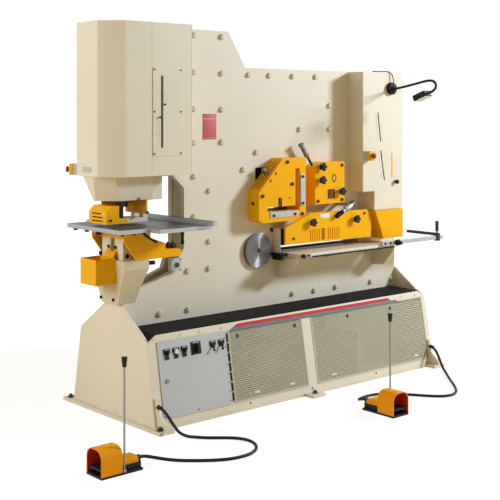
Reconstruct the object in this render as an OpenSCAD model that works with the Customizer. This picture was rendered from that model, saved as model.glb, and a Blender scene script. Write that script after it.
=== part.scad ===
// Ironworker: two thick frame plates on a base box, a punch at the left end and a shear beam between the plates.
// Lengths are in mm. X runs along the machine to the shear end, the front faces -Y, Z is up from the floor.

/* [Base] */
// Length of the base box
base_len = 2510; // [2490:10:2540]
// Width of the base box at the floor
base_w = 890; // [880:10:910]
// Width of the base box at the tread
base_top_w = 700; // [690:10:720]
// Height of the base box up to the tread
base_h = 540; // [530:10:550]
// Thickness of the floor plate
base_plate_t = 20; // [16:2:24]
// Distance of the corner anchor holes from the ends of the floor plate
anchor_in = 32; // [30:1:33]
// Spacing of the anchor holes across the base
anchor_dy = 970; // [960:5:980]
// Diameter of the anchor holes
anchor_d = 24; // [18:1:28]

/* [Frame] */
// Height of the frame at the punch end
frame_top_z = 2384; // [2370:2:2388]
// Height of the frame at the shear end
frame_low_z = 2150; // [2148:2:2170]
// Thickness of one frame plate
plate_t = 40; // [36:1:44]
// Gap between the two frame plates
frame_gap = 90; // [88:1:94]
// Diameter of the shank of a frame bolt
bolt_d = 30; // [26:1:31]

/* [Punch] */
// Distance from the punch axis to the throat wall
throat = 423; // [410:1:440]
// Height of the punch table
table_z = 1165; // [1163:1:1168]
// Diameter of the punch
punch_d = 32; // [20:1:34]
// Diameter of the punch ram
ram_d = 110; // [100:2:114]
// Thickness of the punch table
table_t = 25; // [20:1:28]

/* [Shear] */
// Thickness of the shear beam
beam_t = 80; // [76:1:82]
// Diameter of the pivot shaft
pivot_d = 140; // [130:2:150]
// Diameter of the pivot disc
disc_d = 230; // [210:5:240]
// Height of the shear table
shear_table_z = 905; // [902:1:908]

/* [Controls] */
// Length of a foot pedal
pedal_len = 255; // [250:1:262]
// Width of a foot pedal
pedal_w = 140; // [134:2:146]
// Height of a pedal hood
hood_h = 146; // [140:1:150]
// Height of a pedal's carrying rod
rod_h = 600; // [540:10:640]
// Diameter of the pedal cables
cable_d = 18; // [16:1:19]
// Side of an emergency stop box
estop_w = 68; // [62:1:70]

/* [Hidden] */
$fn = 64;
// one overrun for all cuts
over = 2;
// turning and sliding clearance on the radius
run_gap = 0.05;
// air between parts that slide by each other
air = 0.3;
// thickness of folded sheet covers
sheet_t = 4;
// root gap of a weld between two bars
weld_gap = 0.1;
frame_t = frame_gap + 2 * plate_t;
half_t = frame_t / 2;
half_gap = frame_gap / 2;

// base box
half_len = base_len / 2;
lean = atan2((base_w - base_top_w) / 2, base_h);
plate_over = 30;
anchor_dx = base_len + 2 * (plate_over - anchor_in);
ear_w = 110;
ear_y = 40;
end_t = 20;
in_len = half_len - end_t;
side_t = 10;
shoulder_drop = 43;
neck_up = 146;
corner_x = 45;
corner_z = 30;
tread_t = 6;
rail_z = 68;
top_rail = 52;
front_tall = base_h / cos(lean);
corner_s = (base_h - corner_z) / cos(lean);
lid_x = in_len - corner_x * (front_tall + over - corner_s) / (front_tall - corner_s);
rail_s = rail_z / cos(lean);
head_s = (base_h - top_rail) / cos(lean);
hole_shares = [[-0.952, -0.544], [-0.513, -0.013], [0.070, 0.976]];
hole_x = hole_shares * in_len;
post_x = [[-in_len, hole_x[0][0]], [hole_x[0][1], hole_x[1][0]], [hole_x[1][1], hole_x[2][0]],
    [hole_x[2][1], in_len]];
lap = 11;
mesh_t = 3;
mesh_pitch = 62;
mesh_hole = 44;

// cabinet door and its piano hinge
door_t = 4;
door_gap = 1;
pin_r = 3;
knuckle_r = 5;
hinge_n = knuckle_r + air;
hinge_gap = 8;
leaf_t = 2;
leaf_w = 10;
door_x0 = hole_x[0][0] - lap;
door_x1 = hole_x[0][1] + hinge_gap;
pin_x = door_x1 + hinge_gap;
door_w = door_x1 - door_x0;
door_h = head_s - rail_s + 2 * lap;
knuckle_shares = [0.02, 0.16, 0.30, 0.44, 0.58, 0.72, 0.86];
knuckle_len_share = 0.12;
control_shares = [0.12, 0.25, 0.37, 0.54, 0.79, 0.92];
control_s_share = 0.84;
lock_x_share = 0.09;
lock_s_share = 0.48;
lock_r = 9;
legend_w = 34;
switch_w = 62;
legend_t = 3;
stem_r = 6;
cab_deep = 200;
cab_in = 8;

// power pack behind the mesh
tank_len = 1120;
tank_deep = 240;
tank_tall = 300;
tank_back = 10;
motor_len = 450;
motor_r = 95;
motor_x = -300;
pump_len = 150;
pump_r = 60;

// frame plates
throat_x = -772;
punch_x = throat_x - throat;
jaw_up = 150;
jaw_z = base_h + jaw_up;
jaw_back = 45;
jaw_x = punch_x + jaw_back;
jaw_h = 304;
jaw_shares = [[0, 0], [0.11, 0.29], [0.40, 0.38], [0.82, 0.56], [0.90, 0.85], [1, 1]];
throat_top_z = 1373;
arm_low_z = 1455;
arm_bevel = 85;
arm_back = 155;
arm_x = punch_x + arm_back;
hook_len = 96;
hook_drop = 141;
top_x = -407;
step_x = -259;
spine_x0 = throat_x + 7;
spine_x1 = -410;
bolt_shares = [
    [-0.562, 0.984], [-0.562, 0.885], [-0.562, 0.787], [-0.562, 0.696], [-0.562, 0.606], [-0.562, 0.498],
    [-0.377, 0.984], [-0.377, 0.884], [-0.377, 0.785], [-0.377, 0.696],
    [-0.189, 0.882], [-0.038, 0.882], [0.139, 0.882], [0.318, 0.882],
    [0.430, 0.798], [0.430, 0.727], [0.192, 0.728], [-0.133, 0.665], [-0.227, 0.618],
    [-0.462, 0.565], [-0.462, 0.428], [-0.464, 0.355], [-0.604, 0.355],
    [-0.954, 0.252], [-0.782, 0.252], [-0.601, 0.252],
    [0.139, 0.252], [0.309, 0.252], [0.483, 0.252], [0.782, 0.252], [0.966, 0.252]];
bolt_gap = 1;
bolt_head_d = 36;
bolt_out = 9;
bolt_tip = 6;
bolt_tip_share = 0.7;
sink_d = 38;
sink_deep = 23;
nut_d = 52;
nut_h = 20;
tube_r = 30;

// punch station, measured from the punch axis and the table
head_front = 235;
head_low_front = 190;
head_w = 300;
head_low_w = 230;
head_up = 155;
head_tall = 150;
head_cut = 95;
head_low_cut = 105;
head_lip = 3;
barrel_r = 130;
barrel_room = 78;
block_w = 220;
ram_len = 568;
ram_room = 90;
punch_nut_r = 42;
punch_nut_h = 56;
nut_up = 111;
tip_up = 30;
work_gap = 17;
strip_t = 26;
strip_front = 80;
strip_w = 130;
strip_slot = 12;
hanger_len = 35;
hanger_t = 39;
hood_front = 169;
hood_back = 76;
hood_half = 95;
hood_tall = 108;
hood_bevel = 36;
hood_slots = 3;
hood_slot_w = 120;
hood_slot_h = 9;
hood_slot_up = 22;
strap_t = 8;
hang_back = 70;
hang_len = 118;
hang_y = 112;
hang_h = 58;
hang_drop = 89;
die_r = 45;
die_gap = 0.6;
die_h = 60;
holder_front = 60;
holder_back = 60;
holder_w = 226;
holder_h = 143;
slug_r = 21;
holder_floor = 4;
holder_roof = 12;
ped_front = 95;
ped_back = 83;
ped_w = 360;
ped_flange = 52;
ped_low_front = 80;
ped_low_back = 40;
bin_len = 140;
bin_w = 170;
bin_h = 155;
bin_up = 13;
bin_t = 3;
bin_arm_w = 28;
bin_arm_y = 24;
bin_arm_h = 70;
cover_front = 243;
cover_over = 47;
cover_w = 460;
cover_cut = 115;
cover_up = 14;
panel_x = 75;
panel_w = 222;
panel_z = 118;
panel_h = 540;
panel_t = 3;
slot_x = 143;
slot_w = 16;
slot_h = 437;
limit_back = 125;
limit_up = 170;
limit_w = 75;
limit_h = 79;
limit_t = 38;
dial_r = 18;
dial_t = 6;
tab_front = 202;
tab_step = 5;
tab_gap = 28;
tab_w = 580;
tab_wide = 800;
fence_w = 30;
fence_h = 28;
fence_y0 = -455;
fence_y1 = 345;
fence_slot_y = 323;
fence_slot_w = 14;
fence_bolt_d = 10;
fence_reach = 230;
brk_y = 165;
brk_t = 14;
brk_len = 422;
brk_beam = 28;
brk_beam_h = 32;
brk_shares = [[0, 1], [0, 0.66], [0.21, 0], [1, 0], [1, 0.25], [0.72, 0.33], [0.72, 0.50], [0.45, 0.74], [0.45, 1]];
strip_z0 = table_z + work_gap;
strip_z1 = strip_z0 + strip_t;
head_z0 = table_z + head_up;
head_z1 = head_z0 + head_tall;
nut_z = table_z + nut_up;
ram_z0 = nut_z + punch_nut_h;
die_z = table_z - die_h;
ped_z = die_z - holder_h;
ped_x0 = punch_x - ped_front;
tab_z0 = table_z - table_t;
tab_x1 = throat_x - tab_gap;
fence_x = tab_x1 - fence_w - sheet_t;
cover_x0 = punch_x - cover_front;
cover_x1 = throat_x - cover_over;
cover_z1 = frame_top_z + cover_up;
barrel_tall = cover_z1 - head_z1 - barrel_room;

// shear, measured from the pivot and the shear table
piv_x = -160;
piv_up = 23;
piv_z = shear_table_z + piv_up;
disc_t = 25;
hub_r = 165;
shear_open = 45;
beam_low_z = shear_table_z + shear_open;
beam_len = 1205;
beam_tall = 632;
beam_shares = [[0.05, -0.108], [-0.116, 0.114], [-0.079, 0.668], [0.083, 1], [0.672, 0.945], [0.80, 0.842],
    [1, 0.842], [1, 0.652], [0.823, 0.462]];
flat_x0 = -5;
flat_x1 = 840;
flat_rim = 8;
low_blade_h = 25;
ang_x = -235;
ang_z = 1120;
ang_w = 431;
ang_h = 425;
ang_deep = 110;
ang_shares = [[0, 0.478], [0.5, 1], [1, 1], [1, 0.042], [0.893, 0], [0.081, 0], [0, 0.047]];
leg_x = 75;
leg_z = 70;
leg_t = 32;
leg_w = 298;
leg_h = 283;
leg_wide = 41;
stem_x = 176;
stem_w = 26;
stem_h = 91;
vent_shares = [0.22, 0.34, 0.46, 0.58, 0.70];
vent_w = 8;
vent_deep = 14;
rest_out = 5;
rest_in = 25;
rest_gap = 6;
rest_w = 39;
rest_v_h = 215;
rest_v_z = 28;
rest_h_len = 252;
rest_h_x = 25;
blade_out = 4;
blade_in = 22;
blade_w = 38;
blade_gap = 1;
blade_flat_h = 52;
win_rim = 10;
sec_x = 290;
sec_z = 1215;
sec_w = 292;
sec_h = 292;
sec_deep = 105;
sec_shares = [[0, 0], [1, 0], [1, 1], [0.30, 1], [0, 0.904]];
sec_hole = 40;
sec_hole_x = 158;
sec_hole_z = 69;
sec_rim = 28;
guard_x = -15;
guard_up = 50;
guard_w = 853;
guard_h = 208;
guard_deep = 130;
guard_t = guard_deep - ang_deep - air;
guard_shares = [[0, 0.034], [0.99, 0], [1, 0.64], [0.943, 0.962], [0.28, 1], [0, 0.587]];
guard_leg_w = 44;
guard_leg_h = 85;
guard_leg_up = 20;
slit_x = [236, 409];
slit_count = [5, 6];
slit_pitch = 21;
slit_w = 8;
slit_h = 78;
slit_up = 17;
wide_slit_x = 358;
wide_slit_w = 32;
knob_shares = [[0.164, 0.579], [0.832, 0.281], [0.278, 0.697], [0.785, 0.678]];
knob_off = 22;
knob_t = 18;
knob_core_r = 20;
knob_lobe_r = 9;
knob_lobes = 5;
stud_r = 6;
stud_in = 18;
hold_shares = [[0.552, 0.813], [0.761, 1.236]];
hold_at_share = 0.88;
hold_r = 13;
hold_post_r = 15;
hold_air = 4;
endg_gap = 2;
endg_w = 299;
endg_slant = 90;
endg_up = 31;
endg_deep = 165;
st_x = 23;
st_len = 958;
st_wide = 222;
st_t = 25;
st_rib_h = 60;
st_rib_in = 90;
st_rib_t = 16;
st_rib_shares = [0.08, 0.50, 0.92];
bar_len = 678;
bar_lap = 150;
bar_w = 20;
bar_h = 28;
bar_drop = 8;
stop_x = 1440;
stop_w = 26;
stop_len = 277;
stop_wall = 10;
grip_r = 13;
grip_h = 75;
grip_up = 35;
shc_left = 219;
shc_right = 210;
shc_deep = 145;
shc_z0 = 1146;
shc_drop = 4;
shc_notch_w = 121;
shc_notch_h = 139;
shc_slot_w = 12;
shc_slot_shares = [[[0.366, 0.712], [0.438, 0.497]], [[0.438, 0.432], [0.534, 0.213]]];
rod_back = 95;
cyl_x = piv_x + beam_len - rod_back;
shc_x0 = cyl_x - shc_left;
shc_x1 = cyl_x + shc_right;
cyl_r = 110;
cyl_front = 120;
cyl_back = 140;
cyl_win_z = 1440;
cyl_z = 1560;
cyl_flange = 40;
cyl_tall = 500;
cyl_room = 20;
rod_r = 40;
rod_gap = 3;
rod_len = 277;
rod_room = 110;
spin_x = 202;
spin_z = 1634;
spin_dx = 61;
spin_dz = 83;
spin_deep_share = 0.5;
spin_r = 9;
spin_grip_r = 16;
spin_len = 160;
spin_room = 20;
ang_y = -half_t - ang_deep;
sec_y = -half_t - sec_deep;
guard_y = -half_t - guard_deep;
guard_z = shear_table_z + guard_up;
shc_y = -half_t - shc_deep;
shc_z1 = frame_low_z - shc_drop;
st_x1 = st_x + st_len;
st_y = -half_t - st_wide;
bar_z = shear_table_z - bar_drop;
beam_top_z = piv_z + beam_shares[6][1] * beam_tall;
hx0 = ang_x + leg_x;
hz0 = ang_z + leg_z;
hz1 = hz0 + leg_t;
vx1 = hx0 + leg_w;
vx0 = vx1 - leg_wide;
vz1 = hz0 + leg_h;

// emergency stops and work lamp
estop_t = 60;
estop_x = 34;
estop_z = 397;
estop_l_z = 35;
button_r = 20;
button_t = 16;
button_gap = 10;
neck_r = 11;
neck_in = 30;
lamp_back = 134;
lamp_drop = 117;
lamp_r = 20;
lamp_disc_r = 45;
lamp_disc_t = 28;
lamp_len = 40;
neck_d = 18;
lamp_route = [[0, -30, 0], [0, -70, 2], [0, -120, 9], [0, -170, 18], [0, -220, 27], [0, -270, 37], [0, -320, 46],
    [0, -365, 51], [0, -402, 45], [0, -422, 23], [0, -418, -3], [0, -396, -23], [0, -366, -35], [0, -334, -46]];
head_len = 112;
head_thick = 44;
head_wide = 92;
head_tilt = 21;
head_in = 36;
head_drop = 14;
head_at = lamp_route[len(lamp_route) - 1] + [0, head_in, -head_drop];
lead_d = 7;
lead_route = [[0, -26, 10], [8, -24, 30], [13, -19, 55], [10, -15, 80], [0, -11, 104], [-18, -6, 120], [-45, 1, 124],
    [-80, 9, 124], [-115, 16, 124], [-145, 22, 124], [-158, 24, 124], [-163, 25, 122], [-163, 25, 117]];

// pedals and cables
left_x = -1680;
left_y = -850;
right_x = 67;
right_y = -905;
foot_t = 12;
hood_len = 128;
hood_t = 5;
hood_r = 52;
house_h = 68;
house_low = 40;
house_w = 104;
house_cap_w = 96;
house_back = 14;
house_bevel = 12;
treadle_w = 104;
treadle_t = 10;
treadle_z = 36;
treadle_back = 140;
treadle_front = 8;
treadle_pin_r = 5;
treadle_pin_in = 3;
carry_r = 5;
carry_x = -112;
carry_y = -63;
carry_grip_r = 11;
carry_tip_r = 16;
carry_grip_h = 50;
gland_r = 14;
gland_len = 25;
cable_z = 45;
fin_t = 22;
fin_in = 27;
fin_top = 20;
fin_h = 168;
fin_foot = 80;
fin_bow = 155;
cable_sides = 10;
left_route = [[-1228, -434, 140], [-1227, -452, 138], [-1223, -484, 126], [-1216, -518, 98], [-1207, -552, 60],
    [-1196, -592, 25], [-1178, -640, 10], [-1150, -692, 10], [-1114, -738, 10], [-1072, -775, 10], [-1030, -812, 10],
    [-995, -850, 10], [-972, -895, 10], [-966, -945, 10], [-980, -1000, 10], [-1010, -1048, 10], [-1055, -1088, 10],
    [-1105, -1112, 10], [-1160, -1120, 10], [-1215, -1116, 10], [-1270, -1100, 10], [-1325, -1070, 10],
    [-1375, -1034, 10], [-1425, -992, 10], [-1475, -946, 11], [-1525, -902, 17], [-1575, -868, 29],
    [-1620, -852, 41], [-1659, -850, 45]];
right_route = [[1228, -434, 140], [1227, -452, 138], [1223, -484, 126], [1214, -518, 96], [1199, -554, 56],
    [1178, -592, 22], [1146, -636, 10], [1100, -686, 10], [1052, -736, 10], [1004, -788, 10], [958, -838, 10],
    [914, -888, 10], [868, -938, 10], [822, -984, 10], [775, -1026, 10], [725, -1058, 10], [670, -1074, 10],
    [615, -1064, 10], [568, -1030, 10], [528, -982, 10], [492, -930, 10], [456, -876, 10], [418, -826, 10],
    [374, -782, 10], [324, -750, 10], [270, -734, 10], [214, -732, 10], [160, -744, 11], [115, -768, 17],
    [84, -802, 29], [70, -842, 41], [67, -884, 45]];

// a box between two corners
module span(a, b) translate(a) cube(b - a);

// a profile in X and Z, thick from y0 to y1
module slab_y(y0, y1) translate([0, y1, 0]) rotate([90, 0, 0]) linear_extrude(y1 - y0) children();

// a profile in Y and Z, thick from x0 to x1
module slab_x(x0, x1) translate([x0, 0, 0]) rotate([90, 0, 90]) linear_extrude(x1 - x0) children();

// a round bar along Y
module bar_y(at, r, y0, y1) translate([at[0], y1, at[1]]) rotate([90, 0, 0]) cylinder(r = r, h = y1 - y0);

// a round bar along X
module bar_x(y, z, r, x0, x1) translate([x0, y, z]) rotate([0, 90, 0]) cylinder(r = r, h = x1 - x0);

// a rectangle between two corners
module rect(a, b) translate(a) square(b - a);

// an outline from shares of a width and a height, from its lower left corner
module share_face(shares, at, w, h) translate(at) polygon([for (s = shares) [s[0] * w, s[1] * h]]);

// both sides of the mid-plane
module both_y() {
    children();
    mirror([0, 1, 0]) children();
}

// both ends of the base
module both_x() {
    children();
    mirror([1, 0, 0]) children();
}

// the leaning front: X along, Y up the slope, Z out of it
module on_front() translate([0, -base_w / 2, 0]) rotate([90 - lean, 0, 0]) children();

// half width of the base box at a height
function half_at(z) = base_w / 2 - z * tan(lean);

// directions and rings along a route, for swept tubes
function unit(v) = v / norm(v);
function ahead(p, i) = unit(p[min(i + 1, len(p) - 1)] - p[max(i - 1, 0)]);
function ring(c, t, r, n, ref) = let (s = unit(cross(t, ref)), u = cross(s, t)) [for (k = [0 : n - 1])
    c + r * cos(360 * k / n) * s + r * sin(360 * k / n) * u];

// a round tube swept along route points that never run along ref
module sweep(p, r, n, ref) {
    rows = len(p);
    pts = [for (i = [0 : rows - 1]) each ring(p[i], ahead(p, i), r, n, ref)];
    walls = [for (i = [0 : rows - 2]) for (k = [0 : n - 1])
        each [[i * n + k, i * n + (k + 1) % n, (i + 1) * n + k],
            [i * n + (k + 1) % n, (i + 1) * n + (k + 1) % n, (i + 1) * n + k]]];
    first = [[for (k = [0 : n - 1]) n - 1 - k]];
    last = [[for (k = [0 : n - 1]) (rows - 1) * n + k]];
    polyhedron(points = pts, faces = concat(walls, first, last));
}

module base_plate() color("#d9cfae") difference() {
    union() {
        span([-half_len - plate_over, -base_w / 2, 0], [half_len + plate_over, base_w / 2, base_plate_t]);
        for (x = [-half_len - plate_over, -ear_w / 2, half_len + plate_over - ear_w])
            translate([x, -anchor_dy / 2 - ear_y, 0]) cube([ear_w, anchor_dy + 2 * ear_y, base_plate_t]);
    }
    for (x = [-1, 0, 1]) for (y = [-1, 1]) translate([x * anchor_dx / 2, y * anchor_dy / 2, -over])
        cylinder(d = anchor_d, h = base_plate_t + 2 * over);
}

// the outline of a leaning side, with its top corners cut
module side_outline() polygon([[-in_len, 0], [in_len, 0], [in_len, corner_s], [lid_x, front_tall + over],
    [-lid_x, front_tall + over], [-in_len, corner_s]]);

// a part of a leaning side between two corners along X and up the slope
module side_part(a, b) intersection() {
    on_front() translate([0, 0, -side_t]) linear_extrude(side_t) intersection() {
        side_outline();
        rect(a, b);
    }
    span([-half_len, -base_w, base_plate_t], [half_len, 0, base_h]);
}

// an upright of the leaning front, between its rails
module front_post(k) side_part([post_x[k][0], rail_s + weld_gap], [post_x[k][1], head_s - weld_gap]);

// the base's end plate, with sloping shoulders up to the frame
module end_plate() slab_x(in_len, half_len) {
    shoulder_z = base_h - shoulder_drop;
    neck_z = base_h + neck_up;
    polygon([[-half_at(base_plate_t), base_plate_t], [half_at(base_plate_t), base_plate_t],
        [half_at(shoulder_z), shoulder_z], [half_t, neck_z], [-half_t, neck_z], [-half_at(shoulder_z), shoulder_z]]);
}

// the fixed half of the piano hinge: leaf, pin and every other knuckle
module fixed_hinge() on_front() difference() {
    long = head_s - rail_s;
    union() {
        translate([pin_x, rail_s + weld_gap, -leaf_t]) cube([leaf_w, long - 2 * weld_gap, 2 * leaf_t]);
        translate([pin_x, rail_s, hinge_n]) rotate([-90, 0, 0]) cylinder(r = knuckle_r, h = long);
    }
    for (k = knuckle_shares) translate([pin_x, rail_s + k * long - air, hinge_n])
        rotate([-90, 0, 0]) difference() {
            translate([-2 * knuckle_r, -2 * knuckle_r, 0])
                cube([3 * knuckle_r + air, 2 * knuckle_r + hinge_n, knuckle_len_share * long + 2 * air]);
            translate([0, 0, -over]) cylinder(r = pin_r, h = head_s);
        }
}

module base_box() color("#d9cfae") {
    both_x() end_plate();
    side_part([-in_len, 0], [in_len, rail_s]);
    side_part([-in_len, head_s], [in_len, front_tall + over]);
    for (k = [0, 2, 3]) front_post(k);
    union() {
        front_post(1);
        fixed_hinge();
    }
    mirror([0, 1, 0]) side_part([-in_len, 0], [in_len, front_tall + over]);
}

module tread_plates() color("#26272a") both_y() slab_y(-base_top_w / 2, -half_t) polygon([
    [-in_len, base_h - corner_z], [corner_x - in_len, base_h], [in_len - corner_x, base_h],
    [in_len, base_h - corner_z], [in_len, base_h - corner_z + tread_t], [in_len - corner_x, base_h + tread_t],
    [corner_x - in_len, base_h + tread_t], [-in_len, base_h - corner_z + tread_t]]);

module mesh_panels() color("#b9b596") on_front() for (i = [1, 2]) {
    x0 = hole_x[i][0] - lap;
    x1 = hole_x[i][1] + lap;
    s0 = rail_s - lap;
    s1 = head_s + lap;
    cols = floor((x1 - x0 - mesh_pitch) / mesh_pitch);
    rows = floor((s1 - s0 - mesh_pitch) / mesh_pitch);
    linear_extrude(mesh_t) difference() {
        rect([x0, s0], [x1, s1]);
        translate([(x0 + x1) / 2, (s0 + s1) / 2]) for (a = [0 : cols]) for (b = [0 : rows])
            translate([(a - cols / 2) * mesh_pitch - mesh_hole / 2, (b - rows / 2) * mesh_pitch - mesh_hole / 2])
                square(mesh_hole);
    }
}

module power_pack() color("#6d7178") {
    y1 = -half_t - tank_back;
    y = y1 - tank_deep / 2;
    z = base_plate_t + tank_tall;
    span([-tank_len / 2, y1 - tank_deep, base_plate_t], [tank_len / 2, y1, z]);
    bar_x(y, z + motor_r, motor_r, motor_x, motor_x + motor_len);
    bar_x(y, z + motor_r, pump_r, motor_x + motor_len, motor_x + motor_len + pump_len);
    span([motor_x, y - pump_r, z], [motor_x + motor_len, y + pump_r, z + motor_r]);
}

// the limit switch of the punch, beside the lower jaw
module limit_switch() translate([throat_x - limit_back, -half_t, jaw_z + limit_up]) {
    span([0, -limit_t, 0], [limit_w, 0, limit_h]);
    bar_y([limit_w, limit_h] / 2, dial_r, -limit_t - dial_t, -limit_t);
}

module control_cabinet() color("#8f9296") {
    a = [hole_x[0][0] - cab_in, rail_s + cab_in, -side_t - cab_deep];
    b = [hole_x[0][1] + cab_in, head_s, -side_t];
    on_front() difference() {
        span(a, b);
        span(a + [sheet_t, sheet_t, sheet_t], b + [-sheet_t, -sheet_t, over]);
    }
    limit_switch();
}

// a place on the door's face, as shares of its width and height
function door_at(a, b) = [door_x0 + a * door_w, rail_s - lap + b * door_h, door_gap + door_t];

module cabinet_door() color("#c9cac6") on_front() {
    long = knuckle_len_share * (head_s - rail_s);
    difference() {
        union() {
            translate([door_x0, rail_s - lap, door_gap]) cube([door_w, door_h, door_t]);
            translate(door_at(lock_x_share, lock_s_share)) cylinder(r = lock_r, h = legend_t);
            for (k = knuckle_shares) translate([pin_x, rail_s + k * (head_s - rail_s), hinge_n]) {
                rotate([-90, 0, 0]) cylinder(r = knuckle_r, h = long);
                translate([-hinge_gap - knuckle_r, 0, door_gap + door_t - leaf_t - hinge_n])
                    cube([hinge_gap + knuckle_r, long, leaf_t]);
            }
        }
        translate([pin_x, 0, hinge_n]) rotate([-90, 0, 0]) cylinder(r = pin_r + run_gap, h = front_tall);
        for (a = [0 : 3]) translate(door_at(control_shares[a], control_s_share) - [0, 0, door_t + over])
            cylinder(r = stem_r + run_gap, h = door_t + 2 * over);
    }
}

module control_plates() color("#1e1f22") on_front() for (a = [0 : 5]) {
    w = a == 3 ? switch_w : legend_w;
    translate(door_at(control_shares[a], control_s_share)) difference() {
        union() {
            translate([-w / 2, -w / 2, 0]) cube([w, w, legend_t]);
            if (a > 3) cylinder(d = legend_w - 2 * legend_t, h = 3 * legend_t);
        }
        if (a < 4) translate([0, 0, -over]) cylinder(r = stem_r + run_gap, h = legend_t + 2 * over);
    }
}

// a turning handle on the door: stem, disc and grip bar
module turner(i, r, tall) on_front() translate(door_at(control_shares[i], control_s_share)) {
    translate([0, 0, -door_t]) cylinder(r = stem_r, h = door_t + 2 * legend_t);
    translate([0, 0, legend_t + air]) cylinder(r = r, h = legend_t);
    translate([-legend_t, -r, 2 * legend_t]) cube([2 * legend_t, 2 * r, tall]);
}

module main_switch() color("#1e1f22") turner(3, switch_w / 2 - legend_t, switch_w / 3);

module mode_selector() color("#1e1f22") turner(2, legend_w / 2 - legend_t, legend_w / 3);

module stroke_selector() color("#1e1f22") turner(0, legend_w / 2 - legend_t, legend_w / 3);

module start_button() color("#e6e4dc") on_front() translate(door_at(control_shares[1], control_s_share)) {
    translate([0, 0, legend_t - door_t]) cylinder(r = stem_r, h = door_t + 2 * legend_t);
    translate([0, 0, 2 * legend_t]) cylinder(r = legend_w / 2 - legend_t, h = 2 * legend_t);
}

// outline of a frame plate: base, lower jaw, throat, upper arm and stepped top
throat_hook = [[throat_x, throat_top_z], [throat_x - arm_bevel, arm_low_z], [arm_x + hook_len, arm_low_z],
    [arm_x + hook_len, arm_low_z - hook_drop], [arm_x, arm_low_z - hook_drop]];
throat_plain = [[throat_x, arm_low_z], [arm_x, arm_low_z]];
module frame_outline(throat_side) polygon(concat([[-in_len, base_plate_t], [-in_len, jaw_z]],
    [for (s = jaw_shares) [jaw_x + s[0] * (throat_x - jaw_x), jaw_z + s[1] * jaw_h]],
    throat_side, [[arm_x, frame_top_z],
    [top_x, frame_top_z], [step_x, frame_low_z], [in_len, frame_low_z], [in_len, base_plate_t]]));

function bolt_at(s) = [s[0] * in_len, s[1] * frame_top_z];

// windows of both plates: angle shear, flat shear and the cylinder's trunnion
win_x0 = hx0 - win_rim;
win_z0 = hz0 - win_rim;
win_z1 = vz1 + win_rim;
slot_z0 = shear_table_z - low_blade_h;
sec_mid = sec_x + sec_hole_x;
module plate_cuts(y0, y1) {
    slab_y(y0 - over, y1 + over) {
        rect([win_x0, win_z0], [vx1 + win_rim, win_z1]);
        section_hole(sec_rim);
        rect([flat_x0, slot_z0], [flat_x1, beam_low_z + over]);
        rect([cyl_x - cyl_front, cyl_win_z], [cyl_x + cyl_back, cyl_z + cyl_tall + cyl_room]);
    }
    bar_y([piv_x, piv_z], pivot_d / 2, y0 - over, y1 + over);
    for (s = bolt_shares) bar_y(bolt_at(s), bolt_d / 2 + bolt_gap, y0 - over, y1 + over);
}

// weld seams that part a plate into blocks, each along an edge of a window or of the throat
module seam_x(x, z0, z1) rect([x, z0], [x + weld_gap, z1]);
module seam_z(z, x0, x1) rect([x0, z], [x1, z + weld_gap]);
module plate_seams() {
    seam_x(throat_x, 0, frame_top_z);
    seam_x(flat_x0 - weld_gap, 0, win_z0);
    seam_x(flat_x1, slot_z0 - weld_gap, win_z0);
    seam_z(slot_z0 - weld_gap, flat_x1, in_len);
    for (z = [win_z0 - weld_gap, win_z1]) seam_z(z, throat_x, in_len);
    for (x = [sec_mid - sec_hole / 2 - sec_rim - weld_gap, sec_mid + sec_hole / 2 + sec_rim]) seam_x(x, win_z0, win_z1);
}

module front_frame_plate() color("#d9cfae") difference() {
    slab_y(-half_t, -half_gap) difference() {
        frame_outline(throat_hook);
        plate_seams();
        seam_z(arm_low_z, arm_x, arm_x + hook_len);
    }
    plate_cuts(-half_t, -half_gap);
    for (s = bolt_shares) bar_y(bolt_at(s), sink_d / 2, -half_t - over, sink_deep - half_t);
}

module rear_frame_plate() color("#d9cfae") difference() {
    slab_y(half_gap, half_t) difference() {
        frame_outline(throat_plain);
        plate_seams();
    }
    plate_cuts(half_gap, half_t);
}

module frame_spacers() color("#8a8478") difference() {
    union() {
        span([spine_x0, -half_gap, base_plate_t], [spine_x1, half_gap, frame_top_z]);
        for (s = bolt_shares) bar_y(bolt_at(s), tube_r, -half_gap, half_gap);
    }
    for (s = bolt_shares) bar_y(bolt_at(s), bolt_d / 2 + bolt_gap, -half_t, half_t);
}

module frame_bolts() color("#7c7a72") for (s = bolt_shares) {
    translate([bolt_at(s)[0], -half_t - bolt_out, bolt_at(s)[1]]) rotate([90, 0, 0])
        cylinder(d1 = bolt_head_d, d2 = bolt_tip_share * bolt_head_d, h = bolt_tip);
    bar_y(bolt_at(s), bolt_head_d / 2, -half_t - bolt_out, sink_deep - half_t);
    bar_y(bolt_at(s), bolt_d / 2, sink_deep - half_t, half_t + nut_h);
    translate([bolt_at(s)[0], half_t + nut_h, bolt_at(s)[1]]) rotate([90, 0, 0])
        cylinder(d = nut_d, h = nut_h, $fn = 6);
}

// plan of the punch cover, smaller by t
module cover_plan(t) polygon([[cover_x0 + t, cover_cut - cover_w / 2], [cover_x0 + cover_cut, t - cover_w / 2],
    [cover_x1 - t, t - cover_w / 2], [cover_x1 - t, cover_w / 2 - t], [cover_x0 + cover_cut, cover_w / 2 - t],
    [cover_x0 + t, cover_w / 2 - cover_cut]]);

// the slot over the stroke scale
module scale_slot() translate([punch_x + slot_x - slot_w / 2, -cover_w, head_z1 + panel_z + (panel_h - slot_h) / 2])
    cube([slot_w, cover_w, slot_h]);

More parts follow.
